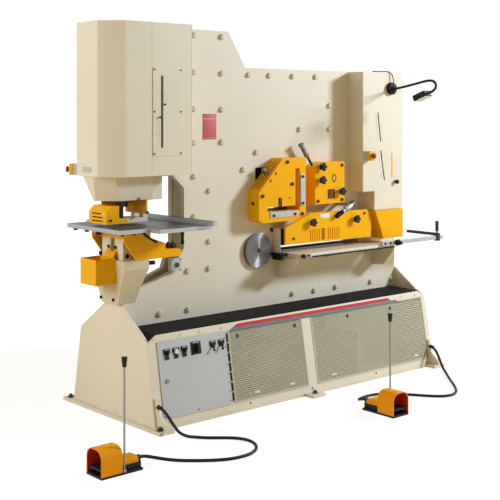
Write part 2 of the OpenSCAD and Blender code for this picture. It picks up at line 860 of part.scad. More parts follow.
module punch_cover() color("#ded5b4") difference() {
    translate([0, 0, head_z1]) linear_extrude(cover_z1 - head_z1) cover_plan(0);
    translate([0, 0, head_z1 + sheet_t]) linear_extrude(cover_z1 - head_z1 - 2 * sheet_t) cover_plan(sheet_t);
    span([arm_x - over, -half_t, head_z1 - over], [cover_x1 + over, half_t, frame_top_z]);
    span([punch_x - barrel_r - over, -barrel_r - over, head_z1 - over],
        [arm_x, barrel_r + over, head_z1 + 2 * sheet_t]);
    scale_slot();
}

module punch_slot_panel() color("#d4cba9") difference() {
    translate([punch_x + panel_x, -cover_w / 2 - panel_t, head_z1 + panel_z]) cube([panel_w, panel_t, panel_h]);
    scale_slot();
}

// plan of the punch head with its two cut corners
module head_plan(front, w, cut) translate([punch_x, 0]) polygon([[-front, cut - w / 2], [cut - front, -w / 2],
    [arm_back, -w / 2], [arm_back, w / 2], [cut - front, w / 2], [-front, w / 2 - cut]]);

module punch_head() color("#d2c9aa") difference() {
    union() {
        hull() {
            translate([0, 0, head_z1 - head_lip]) linear_extrude(head_lip) head_plan(head_front, head_w, head_cut);
            translate([0, 0, head_z0]) linear_extrude(head_lip) head_plan(head_low_front, head_low_w, head_low_cut);
        }
        translate([punch_x, 0, head_z1]) cylinder(r = barrel_r, h = barrel_tall);
        span([punch_x, -block_w / 2, head_z1 - head_lip], [arm_x, block_w / 2, head_z1 + barrel_tall]);
    }
    translate([punch_x, 0, head_z0 - over])
        cylinder(d = ram_d + 2 * run_gap, h = ram_z0 + ram_len + ram_room - head_z0 + over);
}

module punch_ram() color("#b9bcc0") translate([punch_x, 0, ram_z0]) cylinder(d = ram_d, h = ram_len);

module punch() color("#3a3b3e") translate([punch_x, 0, 0]) {
    translate([0, 0, nut_z]) cylinder(r = punch_nut_r, h = punch_nut_h);
    translate([0, 0, table_z + tip_up]) cylinder(d = punch_d, h = nut_up - tip_up);
}

module stripper_arms() color("#cfc5a0") difference() {
    union() {
        span([punch_x - strip_front, -strip_w / 2, strip_z0], [arm_x, strip_w / 2, strip_z1]);
        both_y() span([arm_x - hanger_len, strip_w / 2 - hanger_t, strip_z1], [arm_x, strip_w / 2, head_z0]);
    }
    translate([punch_x, 0, strip_z0 - over]) cylinder(r = punch_d / 2 + strip_slot, h = strip_t + 2 * over);
    span([punch_x - strip_front - over, -punch_d / 2 - strip_slot, strip_z0 - over],
        [punch_x, punch_d / 2 + strip_slot, strip_z1 + over]);
}

module stripper_guard() color("#e2a92a") translate([punch_x, 0, strip_z0]) {
    difference() {
        slab_y(-hood_half, hood_half) polygon([[-hood_front, 0], [-hood_back, 0], [-hood_back, hood_tall],
            [hood_bevel - hood_front, hood_tall], [-hood_front, hood_tall - hood_bevel]]);
        slab_y(sheet_t - hood_half, hood_half - sheet_t) polygon([[sheet_t - hood_front, -over],
            [over - hood_back, -over], [over - hood_back, hood_tall - sheet_t],
            [hood_bevel - hood_front, hood_tall - sheet_t], [sheet_t - hood_front, hood_tall - hood_bevel]]);
        for (k = [1 : hood_slots]) translate([-hood_front - over, -hood_slot_w / 2, k * hood_slot_up - hood_slot_h])
            cube([hood_bevel, hood_slot_w, hood_slot_h]);
    }
    both_y() span([-hood_back, strip_w / 2, 0], [0, strip_w / 2 + strap_t, strip_t]);
    both_y() span([-hood_back - strap_t, strip_w / 2, 0], [-hood_back, hood_half - sheet_t, strip_t]);
    up = head_z0 - strip_z0;
    span([-hang_back, hang_y - strap_t, up - hang_h], [hang_len, hang_y, up]);
    span([hang_len - strap_t, -hang_y, up - hang_drop], [hang_len, hang_y, up]);
}

module die() color("#5a5b5e") translate([punch_x, 0, die_z]) difference() {
    cylinder(r = die_r, h = die_h);
    translate([0, 0, -over]) cylinder(r = punch_d / 2 + die_gap, h = die_h + 2 * over);
}

module die_holder() color("#cfc5a0") translate([punch_x, 0, ped_z]) difference() {
    span([-holder_front, -holder_w / 2, 0], [holder_back, holder_w / 2, holder_h]);
    translate([0, 0, holder_floor]) cylinder(r = slug_r, h = holder_h);
    span([-holder_front - over, -slug_r, holder_floor], [slug_r, slug_r, holder_h - holder_roof]);
}

module pedestal() color("#d2c9aa") hull() {
    span([ped_x0, -ped_w / 2, ped_z - ped_flange], [punch_x + ped_back, ped_w / 2, ped_z]);
    span([punch_x - ped_low_front, -half_t, jaw_z], [punch_x + ped_low_back, half_t, jaw_z + head_lip]);
}

module slug_bin() color("#e2a92a") {
    x1 = punch_x - holder_front;
    z1 = ped_z + bin_up;
    difference() {
        span([ped_x0 - bin_len, -bin_w / 2, z1 - bin_h], [ped_x0, bin_w / 2, z1]);
        span([ped_x0 - bin_len + bin_t, bin_t - bin_w / 2, z1 - bin_h + bin_t],
            [ped_x0 - bin_t, bin_w / 2 - bin_t, z1 + over]);
    }
    both_y() slab_y(bin_arm_y, bin_arm_y + bin_arm_w) polygon([[ped_x0 - bin_t, z1 - bin_t], [ped_x0, z1 - bin_t],
        [x1, z1 + bin_t], [x1, z1 + bin_arm_h], [x1 - bin_t, z1 + bin_arm_h], [x1 - bin_t, z1 + 2 * bin_t],
        [ped_x0 - bin_t, z1 + bin_t]]);
}

module punch_table() color("#9a9ea3") difference() {
    translate([0, 0, tab_z0]) linear_extrude(table_t) {
        rect([punch_x - tab_front, -tab_w / 2], [tab_x1, tab_w / 2]);
        rect([punch_x + tab_step, -tab_wide / 2], [tab_x1, tab_wide / 2]);
    }
    translate([punch_x, 0, tab_z0 - over]) cylinder(r = die_r + air, h = table_t + 2 * over);
    both_y() span([fence_x - fence_reach, fence_slot_y, tab_z0 - over],
        [fence_x + fence_w, fence_slot_y + fence_slot_w, table_z + over]);
}

module table_brackets() color("#e2a92a") {
    both_y() slab_y(-brk_y - brk_t, -brk_y) share_face(brk_shares, [ped_x0, ped_z], brk_len, tab_z0 - ped_z);
    span([ped_x0, -brk_y, tab_z0 - brk_beam_h], [ped_x0 + brk_beam, brk_y, tab_z0]);
}

module gauge_fence() color("#a6a9ad") {
    span([fence_x, fence_y0, table_z + air], [fence_x + fence_w, fence_y1, table_z + fence_h]);
    both_y() translate([fence_x + fence_w / 2, fence_slot_y + fence_slot_w / 2, tab_z0 - fence_bolt_d])
        cylinder(d = fence_bolt_d, h = table_t + 2 * fence_bolt_d);
}

module pivot_shaft() color("#a9abaf") {
    bar_y([piv_x, piv_z], pivot_d / 2, -half_t, half_t);
    both_y() bar_y([piv_x, piv_z], disc_d / 2, -half_t - disc_t, -half_t);
}

// the L-shaped opening through the angle shear
module angle_hole() {
    rect([hx0, hz0], [vx1, hz1]);
    rect([vx0, hz0], [vx1, vz1]);
}

// the square opening through the section shear, wider by t
module section_hole(t) translate([sec_x + sec_hole_x, sec_z + sec_hole_z])
    rect([-sec_hole / 2 - t, -sec_hole / 2 - t], [sec_hole / 2 + t, sec_hole / 2 + t]);

module beam_outline() polygon(concat([for (s = beam_shares) [piv_x + s[0] * beam_len, piv_z + s[1] * beam_tall]],
    [[piv_x + beam_shares[8][0] * beam_len, beam_low_z], [flat_x0 + flat_rim, beam_low_z]]));

// the three moving blades, from y0 into the front of the beam
module blades(y0) slab_y(y0, blade_in - beam_t / 2) {
    rect([vx0 - blade_gap - blade_w, hz1 + blade_gap], [vx0 - blade_gap, vz1]);
    rect([hx0, hz1 + blade_gap], [vx0 - 2 * blade_gap - blade_w, hz1 + blade_gap + blade_w]);
    rect([flat_x0 + flat_rim, beam_low_z], [flat_x1 - 2 * flat_rim, beam_low_z + blade_flat_h]);
}

module shear_beam() color("#8d8f93") difference() {
    union() {
        slab_y(-beam_t / 2, beam_t / 2) beam_outline();
        bar_y([piv_x, piv_z], hub_r, -beam_t / 2, beam_t / 2);
    }
    bar_y([piv_x, piv_z], pivot_d / 2 + run_gap, -beam_t, beam_t);
    slab_y(-beam_t, beam_t) {
        angle_hole();
        section_hole(0);
    }
    blades(-beam_t);
}

module moving_blades() color("#c3c6ca") blades(-beam_t / 2 - blade_out);

// the two angle rests, let into the front of the angle shear plate
module rests(y0) slab_y(y0, ang_y + rest_in) {
    rect([vx1 + rest_gap, hz0 + rest_v_z], [vx1 + rest_gap + rest_w, hz0 + rest_v_z + rest_v_h]);
    rect([hx0 + rest_h_x, hz0 - blade_gap - rest_w], [hx0 + rest_h_x + rest_h_len, hz0 - blade_gap]);
}

// the flat shear's hold-down screw, on a post of the frame
module holddown_screw() {
    y = guard_y - hold_air - hold_r;
    ends = [for (s = hold_shares) [guard_x + s[0] * guard_w, guard_z + s[1] * guard_h]];
    run = ends[1] - ends[0];
    bar_y(ends[0] + hold_at_share * run, hold_post_r, y, -half_t);
    translate([ends[0][0], y, ends[0][1]]) rotate([0, atan2(run[0], run[1]), 0]) cylinder(r = hold_r, h = norm(run));
}

module fixed_blades() color("#c3c6ca") {
    rests(ang_y - rest_out);
    span([flat_x0, -half_t, shear_table_z - low_blade_h], [flat_x1, -half_gap, shear_table_z]);
    holddown_screw();
}

module shear_cylinder() color("#7f8388") difference() {
    union() {
        span([cyl_x - cyl_front, -half_t, cyl_z], [cyl_x + cyl_back, half_t, cyl_z + cyl_flange]);
        translate([cyl_x, 0, cyl_z]) cylinder(r = cyl_r, h = cyl_tall);
    }
    translate([cyl_x, 0, cyl_z - over])
        cylinder(r = rod_r + run_gap, h = beam_top_z + rod_gap + rod_len + rod_room - cyl_z);
}

module shear_rod() color("#c3c6ca") translate([cyl_x, 0, beam_top_z + rod_gap]) cylinder(r = rod_r, h = rod_len);

// face of a shear cover with its notched corner, smaller by t
module shc_face(t) {
    notch_x = shc_x0 + shc_notch_w;
    notch_z = shc_z0 + shc_notch_h;
    polygon([[notch_x + t, shc_z0 + t], [shc_x1 - t, shc_z0 + t], [shc_x1 - t, shc_z1 - t], [shc_x0 + t, shc_z1 - t],
        [shc_x0 + t, notch_z + t], [notch_x + t, notch_z + t]]);
}

// the two slanted slots over the stroke scale, in the front cover
function on_cover(s) = [shc_x0 + s[0] * (shc_x1 - shc_x0), shc_z0 + s[1] * (shc_z1 - shc_z0)];
module cover_slots() slab_y(shc_y - over, shc_y + 2 * sheet_t) for (s = shc_slot_shares) {
    run = on_cover(s[1]) - on_cover(s[0]);
    translate(on_cover(s[0])) rotate(atan2(run[1], run[0])) translate([0, -shc_slot_w / 2])
        square([norm(run), shc_slot_w]);
}

module shear_covers() color("#ded5b4") difference() {
    both_y() difference() {
        slab_y(shc_y, -half_t) shc_face(0);
        slab_y(shc_y + sheet_t, over - half_t) shc_face(sheet_t);
    }
    cover_slots();
}

module angle_shear_plate() color("#e2a92a") {
    slope = [ang_shares[1][0] * ang_w, (ang_shares[1][1] - ang_shares[0][1]) * ang_h];
    difference() {
        slab_y(ang_y, -half_t) share_face(ang_shares, [ang_x, ang_z], ang_w, ang_h);
        slab_y(ang_y - over, over - half_t) {
            angle_hole();
            rect([ang_x + stem_x, hz1 - over], [ang_x + stem_x + stem_w, hz0 + stem_h]);
        }
        rests(ang_y - over);
        translate([ang_x, 0, ang_z + ang_shares[0][1] * ang_h]) rotate([0, -atan2(slope[1], slope[0]), 0])
            for (k = vent_shares) span([k * norm(slope), ang_y + vent_deep, -vent_deep],
                [k * norm(slope) + vent_w, -half_t - vent_deep, vent_deep]);
    }
}

// the hold-down spindle's own axis: Z runs down it from the grip
grip_len = norm([spin_dx, spin_dz]);
module on_spindle() translate([spin_x, sec_y + spin_deep_share * sec_deep, spin_z])
    rotate([0, 90 + atan2(spin_dz, spin_dx), 0]) children();

// where a star knob sits, from the face that carries it
function knob_at(i) = i < 2 ? [sec_x + knob_shares[i][0] * sec_w, sec_z + knob_shares[i][1] * sec_h]
    : [guard_x + knob_shares[i][0] * guard_w, guard_z + knob_shares[i][1] * guard_h];
function knob_face(i) = i < 2 ? sec_y : guard_y;

module section_holddown() color("#e2a92a") difference() {
    slab_y(sec_y, -half_t) share_face(sec_shares, [sec_x, sec_z], sec_w, sec_h);
    slab_y(sec_y - over, over - half_t) section_hole(0);
    on_spindle() translate([0, 0, grip_len]) cylinder(r = spin_r + run_gap, h = spin_len + spin_room);
    for (i = [0, 1]) bar_y(knob_at(i), stud_r + run_gap, sec_y - over, sec_y + stud_in + knob_t);
}

module holddown_spindle() color("#8d8f93") on_spindle() {
    cylinder(r = spin_grip_r, h = grip_len);
    translate([0, 0, grip_len]) cylinder(r = spin_r, h = spin_len);
}

module flat_shear_guard() color("#e2a92a") difference() {
    union() {
        slab_y(guard_y, guard_y + guard_t) share_face(guard_shares, [guard_x, guard_z], guard_w, guard_h);
        for (x = [guard_x, guard_x + guard_w - 2 * guard_leg_w])
            translate([x, guard_y + guard_t, guard_z + guard_leg_up])
                cube([guard_leg_w, guard_deep - guard_t, guard_leg_h]);
    }
    for (g = [0, 1]) for (k = [0 : slit_count[g] - 1])
        translate([guard_x + slit_x[g] + k * slit_pitch - slit_w / 2, guard_y - over, guard_z + slit_up])
            cube([slit_w, guard_t + 2 * over, slit_h]);
    translate([guard_x + wide_slit_x - wide_slit_w / 2, guard_y - over, guard_z + slit_up])
        cube([wide_slit_w, guard_t + 2 * over, slit_h]);
    for (i = [2, 3]) bar_y(knob_at(i), stud_r + run_gap, guard_y - over, guard_y + guard_t + over);
}

module star_knob(i) color("#1b1c1e") {
    y = knob_face(i) - knob_off;
    bar_y(knob_at(i), stud_r, y, knob_face(i) + stud_in);
    bar_y(knob_at(i), knob_core_r, y - knob_t, y);
    for (k = [0 : knob_lobes - 1]) bar_y(knob_at(i) + knob_core_r * [cos(360 * k / knob_lobes),
        sin(360 * k / knob_lobes)], knob_lobe_r, y - knob_t, y);
}

module star_knob_1() star_knob(0);

module star_knob_2() star_knob(1);

module star_knob_3() star_knob(2);

module star_knob_4() star_knob(3);

// face of the end guard, smaller by t
module endg_face(t) {
    x = guard_x + guard_w + endg_gap;
    z0 = shear_table_z + endg_up;
    z1 = shc_z0 - endg_gap;
    polygon([[x + endg_slant + t, z0 + t], [x + endg_w - t, z0 + t], [x + endg_w - t, z1 - t], [x + 2 * t, z1 - t]]);
}

module end_guard() color("#e2a92a") difference() {
    slab_y(-half_t - endg_deep, -half_t) endg_face(0);
    slab_y(-half_t - endg_deep + sheet_t, over - half_t) endg_face(sheet_t);
}

module shear_table() color("#9a9ea3") {
    z = shear_table_z - st_t;
    span([st_x, st_y, z], [st_x1, -half_t, shear_table_z]);
    for (k = st_rib_shares) translate([st_x + k * st_len, 0, 0]) slab_x(-st_rib_t / 2, st_rib_t / 2)
        polygon([[st_y + st_rib_in, z], [-half_t, z - st_rib_h], [-half_t, z]]);
}

module length_bar() color("#a6a9ad") translate([st_x1 - bar_lap, st_y - bar_w, bar_z]) cube([bar_len, bar_w, bar_h]);

module length_stop() color("#4b4540") difference() {
    z1 = bar_z + bar_h;
    union() {
        span([stop_x, st_y - bar_w - stop_wall, bar_z - stop_wall],
            [stop_x + stop_w, st_y + stop_wall, z1 + 2 * stop_wall]);
        span([stop_x, st_y, z1 + air], [stop_x + stop_w, st_y + stop_len, z1 + 2 * stop_wall]);
        translate([stop_x + stop_w / 2, st_y - bar_w / 2, z1 + stop_wall]) {
            cylinder(r = stem_r, h = grip_up);
            translate([0, 0, grip_up - stop_wall]) cylinder(r = grip_r, h = grip_h);
        }
    }
    span([stop_x - over, st_y - bar_w - air, bar_z - air], [stop_x + stop_w + over, st_y + air, z1 + air]);
}

// the two emergency stops: Z points out of the box
module on_left_stop() translate([cover_x0 + cover_cut / 2, (cover_w - cover_cut) / 2, head_z1 + estop_l_z])
    rotate([0, 0, 135]) rotate([0, 90, 0]) children();

module on_right_stop() translate([shc_x0 + estop_x, shc_y, shc_z0 + estop_z]) rotate([90, 0, 0]) children();

module stop_box() difference() {
    translate([-estop_w / 2, -estop_w / 2, 0]) cube([estop_w, estop_w, estop_t]);
    translate([0, 0, estop_t - neck_in]) cylinder(r = neck_r + run_gap, h = estop_t);
}

module estop_boxes() color("#e8c21e") {
    on_left_stop() stop_box();
    on_right_stop() stop_box();
}

module stop_button() {
    translate([0, 0, estop_t - neck_in + button_gap]) cylinder(r = neck_r, h = neck_in);
    translate([0, 0, estop_t + button_gap]) cylinder(r = button_r, h = button_t);
}

module left_estop_button() color("#c9202a") on_left_stop() stop_button();

module right_estop_button() color("#c9202a") on_right_stop() stop_button();

module work_lamp() color("#1b1c1e") translate([shc_x1 - lamp_back, shc_y, shc_z1 - lamp_drop]) {
    rotate([90, 0, 0]) cylinder(r = lamp_r, h = lamp_len);
    rotate([90, 0, 0]) cylinder(r = lamp_disc_r, h = lamp_disc_t);
    sweep(lamp_route, neck_d / 2, cable_sides, [1, 0, 0]);
    sweep(lead_route, lead_d / 2, cable_sides, [0, 1, 0]);
    translate(head_at) rotate([-head_tilt, 0, 0]) translate([-head_wide / 2, -head_len / 2, -head_thick / 2])
        cube([head_wide, head_len, head_thick]);
}

// a cable bracket: an upright fin with a hollow front, against the leaning base
module cable_brackets() color("#cfc5a0") both_x() translate([half_len - fin_in, 0, 0])
    slab_x(-fin_t / 2, fin_t / 2) {
    z1 = base_plate_t + fin_h;
    y0 = -half_at(base_plate_t) - fin_foot;
    difference() {
        polygon([[y0, base_plate_t], [-half_at(base_plate_t), base_plate_t], [-half_at(z1), z1], [y0, z1]]);
        translate([-half_at(z1) - fin_top - fin_bow, z1]) circle(fin_bow);
    }
}

// the pedals stand where they are photographed; X runs from the mouth back to the cable
module at_left() translate([left_x, left_y, 0]) children();

module at_right() translate([right_x, right_y, 0]) rotate([0, 0, 90]) children();

// an arch: a rectangle with two round top corners, smaller by t
module arch(t) {
    w = pedal_w - 2 * t;
    h = hood_h - t;
    r = hood_r - t;
    translate([-w / 2, foot_t]) square([w, h - r - foot_t]);
    for (x = [-1, 1]) translate([x * (w / 2 - r), h - r]) circle(r);
    translate([r - w / 2, h - 2 * r]) square([w - 2 * r, 2 * r]);
}

module pedal_base() {
    span([-pedal_len, -pedal_w / 2, 0], [0, pedal_w / 2, foot_t]);
    span([hood_len - pedal_len, -house_w / 2, foot_t], [0, house_w / 2, house_low]);
    span([-house_back, -house_cap_w / 2, foot_t], [0, house_cap_w / 2, house_h - house_bevel / 2]);
    bar_x(0, cable_z, gland_r, 0, gland_len);
    translate([carry_x, carry_y, foot_t]) cylinder(r = carry_r, h = rod_h - carry_grip_h - foot_t);
    translate([carry_x, carry_y, rod_h - carry_grip_h])
        cylinder(r1 = carry_grip_r, r2 = carry_tip_r, h = carry_grip_h);
}

module pedal_bases() color("#1e1f22") {
    at_left() pedal_base();
    at_right() pedal_base();
}

// the treadle's pin, with a clearance on its radius
module treadle_pin(r, long) translate([-treadle_back, long / 2, treadle_z + treadle_t / 2]) rotate([90, 0, 0])
    cylinder(r = r, h = long);

module pedal_hood() difference() {
    slab_x(-pedal_len, hood_len - pedal_len) arch(0);
    slab_x(-pedal_len - over, hood_len - pedal_len - hood_t) arch(hood_t);
    treadle_pin(treadle_pin_r + run_gap, pedal_w - 2 * hood_t + 2 * treadle_pin_in + 2 * run_gap);
}

// the cap over the pedal's switch, behind the hood
module pedal_cap() slab_x(hood_len - pedal_len, -house_back) {
    w = house_cap_w / 2;
    polygon([[-w, house_low], [w, house_low], [w, house_h - house_bevel], [w - house_bevel, house_h],
        [house_bevel - w, house_h], [-w, house_h - house_bevel]]);
}

module pedal_hoods() color("#e08a1e") {
    at_left() pedal_hood();
    at_left() pedal_cap();
    at_right() pedal_hood();
    at_right() pedal_cap();
}

module treadle() {
    span([treadle_front - pedal_len, -treadle_w / 2, treadle_z],
        [-treadle_back, treadle_w / 2, treadle_z + treadle_t]);
    treadle_pin(treadle_pin_r, pedal_w - 2 * hood_t + 2 * treadle_pin_in);
}

module left_treadle() color("#1e1f22") at_left() treadle();

module right_treadle() color("#1e1f22") at_right() treadle();

module left_pedal_cable() color("#1b1c1e") sweep(left_route, cable_d / 2, cable_sides, [0, 0, 1]);

module right_pedal_cable() color("#1b1c1e") sweep(right_route, cable_d / 2, cable_sides, [0, 0, 1]);

base_plate();
base_box();
tread_plates();
mesh_panels();
power_pack();
control_cabinet();
cabinet_door();
control_plates();
main_switch();
start_button();
mode_selector();
stroke_selector();
front_frame_plate();
rear_frame_plate();
frame_spacers();
frame_bolts();
punch_cover();
punch_slot_panel();
punch_head();
punch_ram();
punch();
stripper_arms();
stripper_guard();
die();
die_holder();
pedestal();
slug_bin();
punch_table();
table_brackets();
gauge_fence();
pivot_shaft();
shear_beam();
moving_blades();
fixed_blades();
shear_cylinder();
shear_rod();
shear_covers();
angle_shear_plate();
section_holddown();
holddown_spindle();
flat_shear_guard();
star_knob_1();
star_knob_2();
star_knob_3();
star_knob_4();
end_guard();
shear_table();
length_bar();
length_stop();
estop_boxes();
left_estop_button();
right_estop_button();
work_lamp();
cable_brackets();
pedal_bases();
pedal_hoods();
left_treadle();
right_treadle();
left_pedal_cable();
right_pedal_cable();
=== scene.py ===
# %% [markdown]
# # An ironworker, dressed in Blender
#
# The machine is a tall pair of frame plates on a base box. A hydraulic punch hangs over a table at the
# left end, and a rocking beam between the plates shears flats, angles and bars. The construction arrives
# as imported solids. This lesson gives them their paint, steel, rubber and plastic, and adds the thin
# things that solids don't hold: perforations, stripes, screws, scales and seams.

import math

import bmesh
import bpy
from mathutils import Matrix, Vector


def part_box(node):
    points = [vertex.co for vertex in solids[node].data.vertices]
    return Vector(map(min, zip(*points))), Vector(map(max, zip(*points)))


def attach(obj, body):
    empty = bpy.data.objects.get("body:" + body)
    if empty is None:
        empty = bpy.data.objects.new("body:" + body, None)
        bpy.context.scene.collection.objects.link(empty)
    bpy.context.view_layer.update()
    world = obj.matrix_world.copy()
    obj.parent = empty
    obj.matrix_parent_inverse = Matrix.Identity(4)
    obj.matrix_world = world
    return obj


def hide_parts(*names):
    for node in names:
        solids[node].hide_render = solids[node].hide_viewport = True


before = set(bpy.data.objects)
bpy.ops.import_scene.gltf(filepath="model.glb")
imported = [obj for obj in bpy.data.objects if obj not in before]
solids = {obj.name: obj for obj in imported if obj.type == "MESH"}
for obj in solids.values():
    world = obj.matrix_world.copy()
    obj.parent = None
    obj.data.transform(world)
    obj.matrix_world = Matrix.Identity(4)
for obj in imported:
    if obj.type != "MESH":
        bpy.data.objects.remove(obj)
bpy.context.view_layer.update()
MM = 0.001

# %% [markdown]
# ## The photographer's place
#
# The upright edges stay upright in the picture, so the camera is level and the picture is shifted down,
# as with a view camera. A long lens keeps the perspective mild. Tilting the camera would be the other
# way, but then the machine's uprights would lean.

# %% Camera
EYE = Vector((-4.884, -5.441, 1.850))
LOOK = Vector((0.657, 0.754, 0.0))
FOCAL_PX = 1063
PICTURE_PX = 500
HORIZON_PX = 113
SENSOR_MM = 36
camera_data = bpy.data.cameras.new("camera")
camera_data.sensor_width = SENSOR_MM
camera_data.lens = FOCAL_PX / PICTURE_PX * SENSOR_MM
camera_data.shift_y = (HORIZON_PX - PICTURE_PX / 2) / PICTURE_PX
camera = bpy.data.objects.new("camera", camera_data)
camera.location = EYE
camera.rotation_euler = LOOK.to_track_quat("-Z", "Y").to_euler()
bpy.context.scene.collection.objects.link(camera)
bpy.context.scene.camera = camera
bpy.context.scene.view_settings.view_transform = "Standard"
print("lens", round(camera_data.lens, 1), "mm, shift", round(camera_data.shift_y, 3))

# %% [markdown]
# ## Shader maths in plain expressions
#
# A node tree is a formula, so it reads best as one. The first class wraps a socket: adding or multiplying
# two of them adds the Math node for it. All other nodes come from one method of the second class, which
# also serves the studio's sky at the end.


# %% A socket that can be used in sums
def put(tree, value, socket):
    """Links a wire to a socket, or sets a plain value on it."""
    if isinstance(value, Wire):
        tree.links.new(value.socket, socket)
    else:
        socket.default_value = value


class Wire:
    """One output socket. Operators on it add Math nodes."""

    def __init__(self, tree, socket):
        self.tree = tree
        self.socket = socket

    def math(self, operation, first, second):
        step = self.tree.nodes.new("ShaderNodeMath")
        step.operation = operation
        put(self.tree, first, step.inputs[0])
        put(self.tree, second, step.inputs[1])
        return Wire(self.tree, step.outputs[0])

    def __add__(self, other):
        return self.math("ADD", self, other)

    def __radd__(self, other):
        return self.math("ADD", other, self)

    def __sub__(self, other):
        return self.math("SUBTRACT", self, other)

    def __rsub__(self, other):
        return self.math("SUBTRACT", other, self)

    def __mul__(self, other):
        return self.math("MULTIPLY", self, other)

    def __rmul__(self, other):
        return self.math("MULTIPLY", other, self)

    def __gt__(self, other):
        return self.math("GREATER_THAN", self, other)

    def __lt__(self, other):
        return self.math("LESS_THAN", self, other)


def linear(hex_colour, gain=1.0):
    """A colour as it is written in a paint chart, turned into light."""
    parts = [int(hex_colour[i:i + 2], 16) / 255 for i in (1, 3, 5)]
    light = [p / 12.92 if p <= 0.04045 else ((p + 0.055) / 1.055) ** 2.4 for p in parts]
    return tuple(min(1.0, gain * v) for v in light) + (1.0,)


print("cream as light:", [round(v, 3) for v in linear("#e6dbc8")])

# %% A finish, node by node
EDGE_GAIN = 5.0


class Nodes:
    """A node tree that grows by one call for each node."""

    def __init__(self, tree):
        self.tree = tree

    def node(self, kind, settings, values, out=0):
        made = self.tree.nodes.new("ShaderNode" + kind)
        for key, value in settings.items():
            setattr(made, key, value)
        for key, value in values.items():
            put(self.tree, value, made.inputs[key])
        return Wire(self.tree, made.outputs[out])

    def mix(self, share, first, second):
        """Two colours by share: inputs 6 and 7 and output 2 are the Mix node's colour sockets."""
        return self.node("Mix", {"data_type": "RGBA"}, {0: share, 6: first, 7: second}, out=2)

    def vector(self, operation, values, out="Vector"):
        return self.node("VectorMath", {"operation": operation}, values, out)


class Finish(Nodes):
    """A material with one Principled shader."""

    def __init__(self, name):
        self.material = bpy.data.materials.new(name)
        self.material.use_nodes = True
        super().__init__(self.material.node_tree)
        self.tree.nodes.clear()
        self.shader = self.tree.nodes.new("ShaderNodeBsdfPrincipled")
        self.output = self.tree.nodes.new("ShaderNodeOutputMaterial")
        self.tree.links.new(self.shader.outputs[0], self.output.inputs[0])

    def set(self, **values):
        for key, value in values.items():
            put(self.tree, value, self.shader.inputs[key.replace("_", " ")])

    def place(self):
        return self.node("TexCoord", {}, {}, out="Object")

    def facing(self):
        return self.node("NewGeometry", {}, {}, out="Normal")

    def noise(self, scale, detail=2.0, stretch=(1, 1, 1)):
        spread = self.node("Mapping", {}, {"Vector": self.place(), "Scale": stretch})
        return self.node("TexNoise", {}, {"Vector": spread, "Scale": scale, "Detail": detail})

    def bump(self, height, strength, depth, normal=None):
        values = {"Height": height, "Strength": strength, "Distance": depth}
        if normal is not None:
            values["Normal"] = normal
        return self.node("Bump", {}, values)

    def rounded(self, radius):
        return self.node("Bevel", {"samples": 3}, {"Radius": radius})

    def worn_edge(self, rounded):
        """More than 0 where the rounded normal turns away from the face, which is at an edge."""
        same = self.vector("DOT_PRODUCT", {0: rounded, 1: self.facing()}, out="Value")
        return (1 - same) * EDGE_GAIN


print("finish tools ready")

# %% [markdown]
# ## Machine enamel
#
# The castings and sheets wear a thick sprayed enamel. Up close it has an orange-peel skin, slow changes of
# tone where it was sprayed twice, and edges where it thins. A Bevel node rounds the sharp CAD edges for
# the light, and the same node tells where an edge is, so that the paint can pale there.

# %% Enamels
EDGE_WEAR = 0.35
PEEL = 0.25
PEEL_DEPTH = 0.0006


def enamel(name, colour, rough=0.38, rim=0.0025, shine=0.3):
    """Paint. rim is the radius that the light sees on an edge, in metres. 0 leaves the edges sharp."""
    made = Finish(name)
    cloud = made.noise(scale=2.2, detail=4.0)
    dust = made.noise(scale=60.0, detail=3.0)
    tone = made.mix(cloud, linear(colour, 0.92), linear(colour, 1.06))
    tone = made.mix(dust * 0.12, tone, linear(colour, 0.80))
    gloss = rough + dust * 0.14
    rounded = None
    if rim:
        rounded = made.rounded(rim)
        worn = made.worn_edge(rounded)
        tone = made.mix(worn * EDGE_WEAR, tone, linear(colour, 1.25))
        gloss = gloss - worn * 0.1
    skin = made.noise(scale=420.0)
    made.set(Base_Color=tone, Roughness=gloss, Specular_IOR_Level=shine)
    made.set(Coat_Weight=0.06, Coat_Roughness=0.2)
    made.set(Normal=made.bump(skin, PEEL, PEEL_DEPTH, rounded))
    return made.material


CREAM = enamel("cream_enamel", "#e6dbc8")
CREAM_PLATE = enamel("cream_plate_enamel", "#e4d9c8", rim=0)
# A darker copy of the cream enamel: painted shade on the pedestal, the shear table, the frame spacers, the
# frame bolts and the rail screws.
CREAM_PAINTED_SHADE = enamel("cream_painted_shade_enamel", "#d8ccb0", 0.45)
SEAM = enamel("seam_shade", "#cdc2a8", 0.6, rim=0)
AMBER = enamel("amber_enamel", "#ffb404", 0.3, shine=0.1)
DOOR_GREY = enamel("door_grey_enamel", "#c3c4c9", 0.42)
PACK_GREY = enamel("pack_grey_enamel", "#77756c", 0.5)
PANEL_OLIVE = enamel("panel_olive_enamel", "#cbc4ab", 0.5)
ORANGE = enamel("pedal_orange_enamel", "#f29c02", 0.34, shine=0.1)
RED = enamel("signal_red_enamel", "#cb2a20", 0.42)
NOTICE = enamel("notice_red_film", "#c4615d", 0.5)
SLATE = enamel("slate_stripe_enamel", "#6f7983", 0.45)
WHITE = enamel("white_enamel", "#e9e6dc", 0.42)
print("enamels:", len(bpy.data.materials))

# %% [markdown]
# ## Steel and black oxide
#
# Ground steel keeps the lines of the wheel, so its noise is stretched along one axis. The punch table is
# darker on top than at its ground edges, so its finish asks which way the surface faces. The pivot disc
# was turned on a lathe: fine rings around its centre bend the light into two bright wedges.
# The rings are far narrower than a pixel, where a Bump node would only give noise, so the normal itself
# is tilted in and out along the radius.

# %% Bare and dark metals
FINE_RIM = 0.0015
PIVOT_AT = (-160, -110, 928)
ONE_WAY = {"noise_dimensions": "1D"}


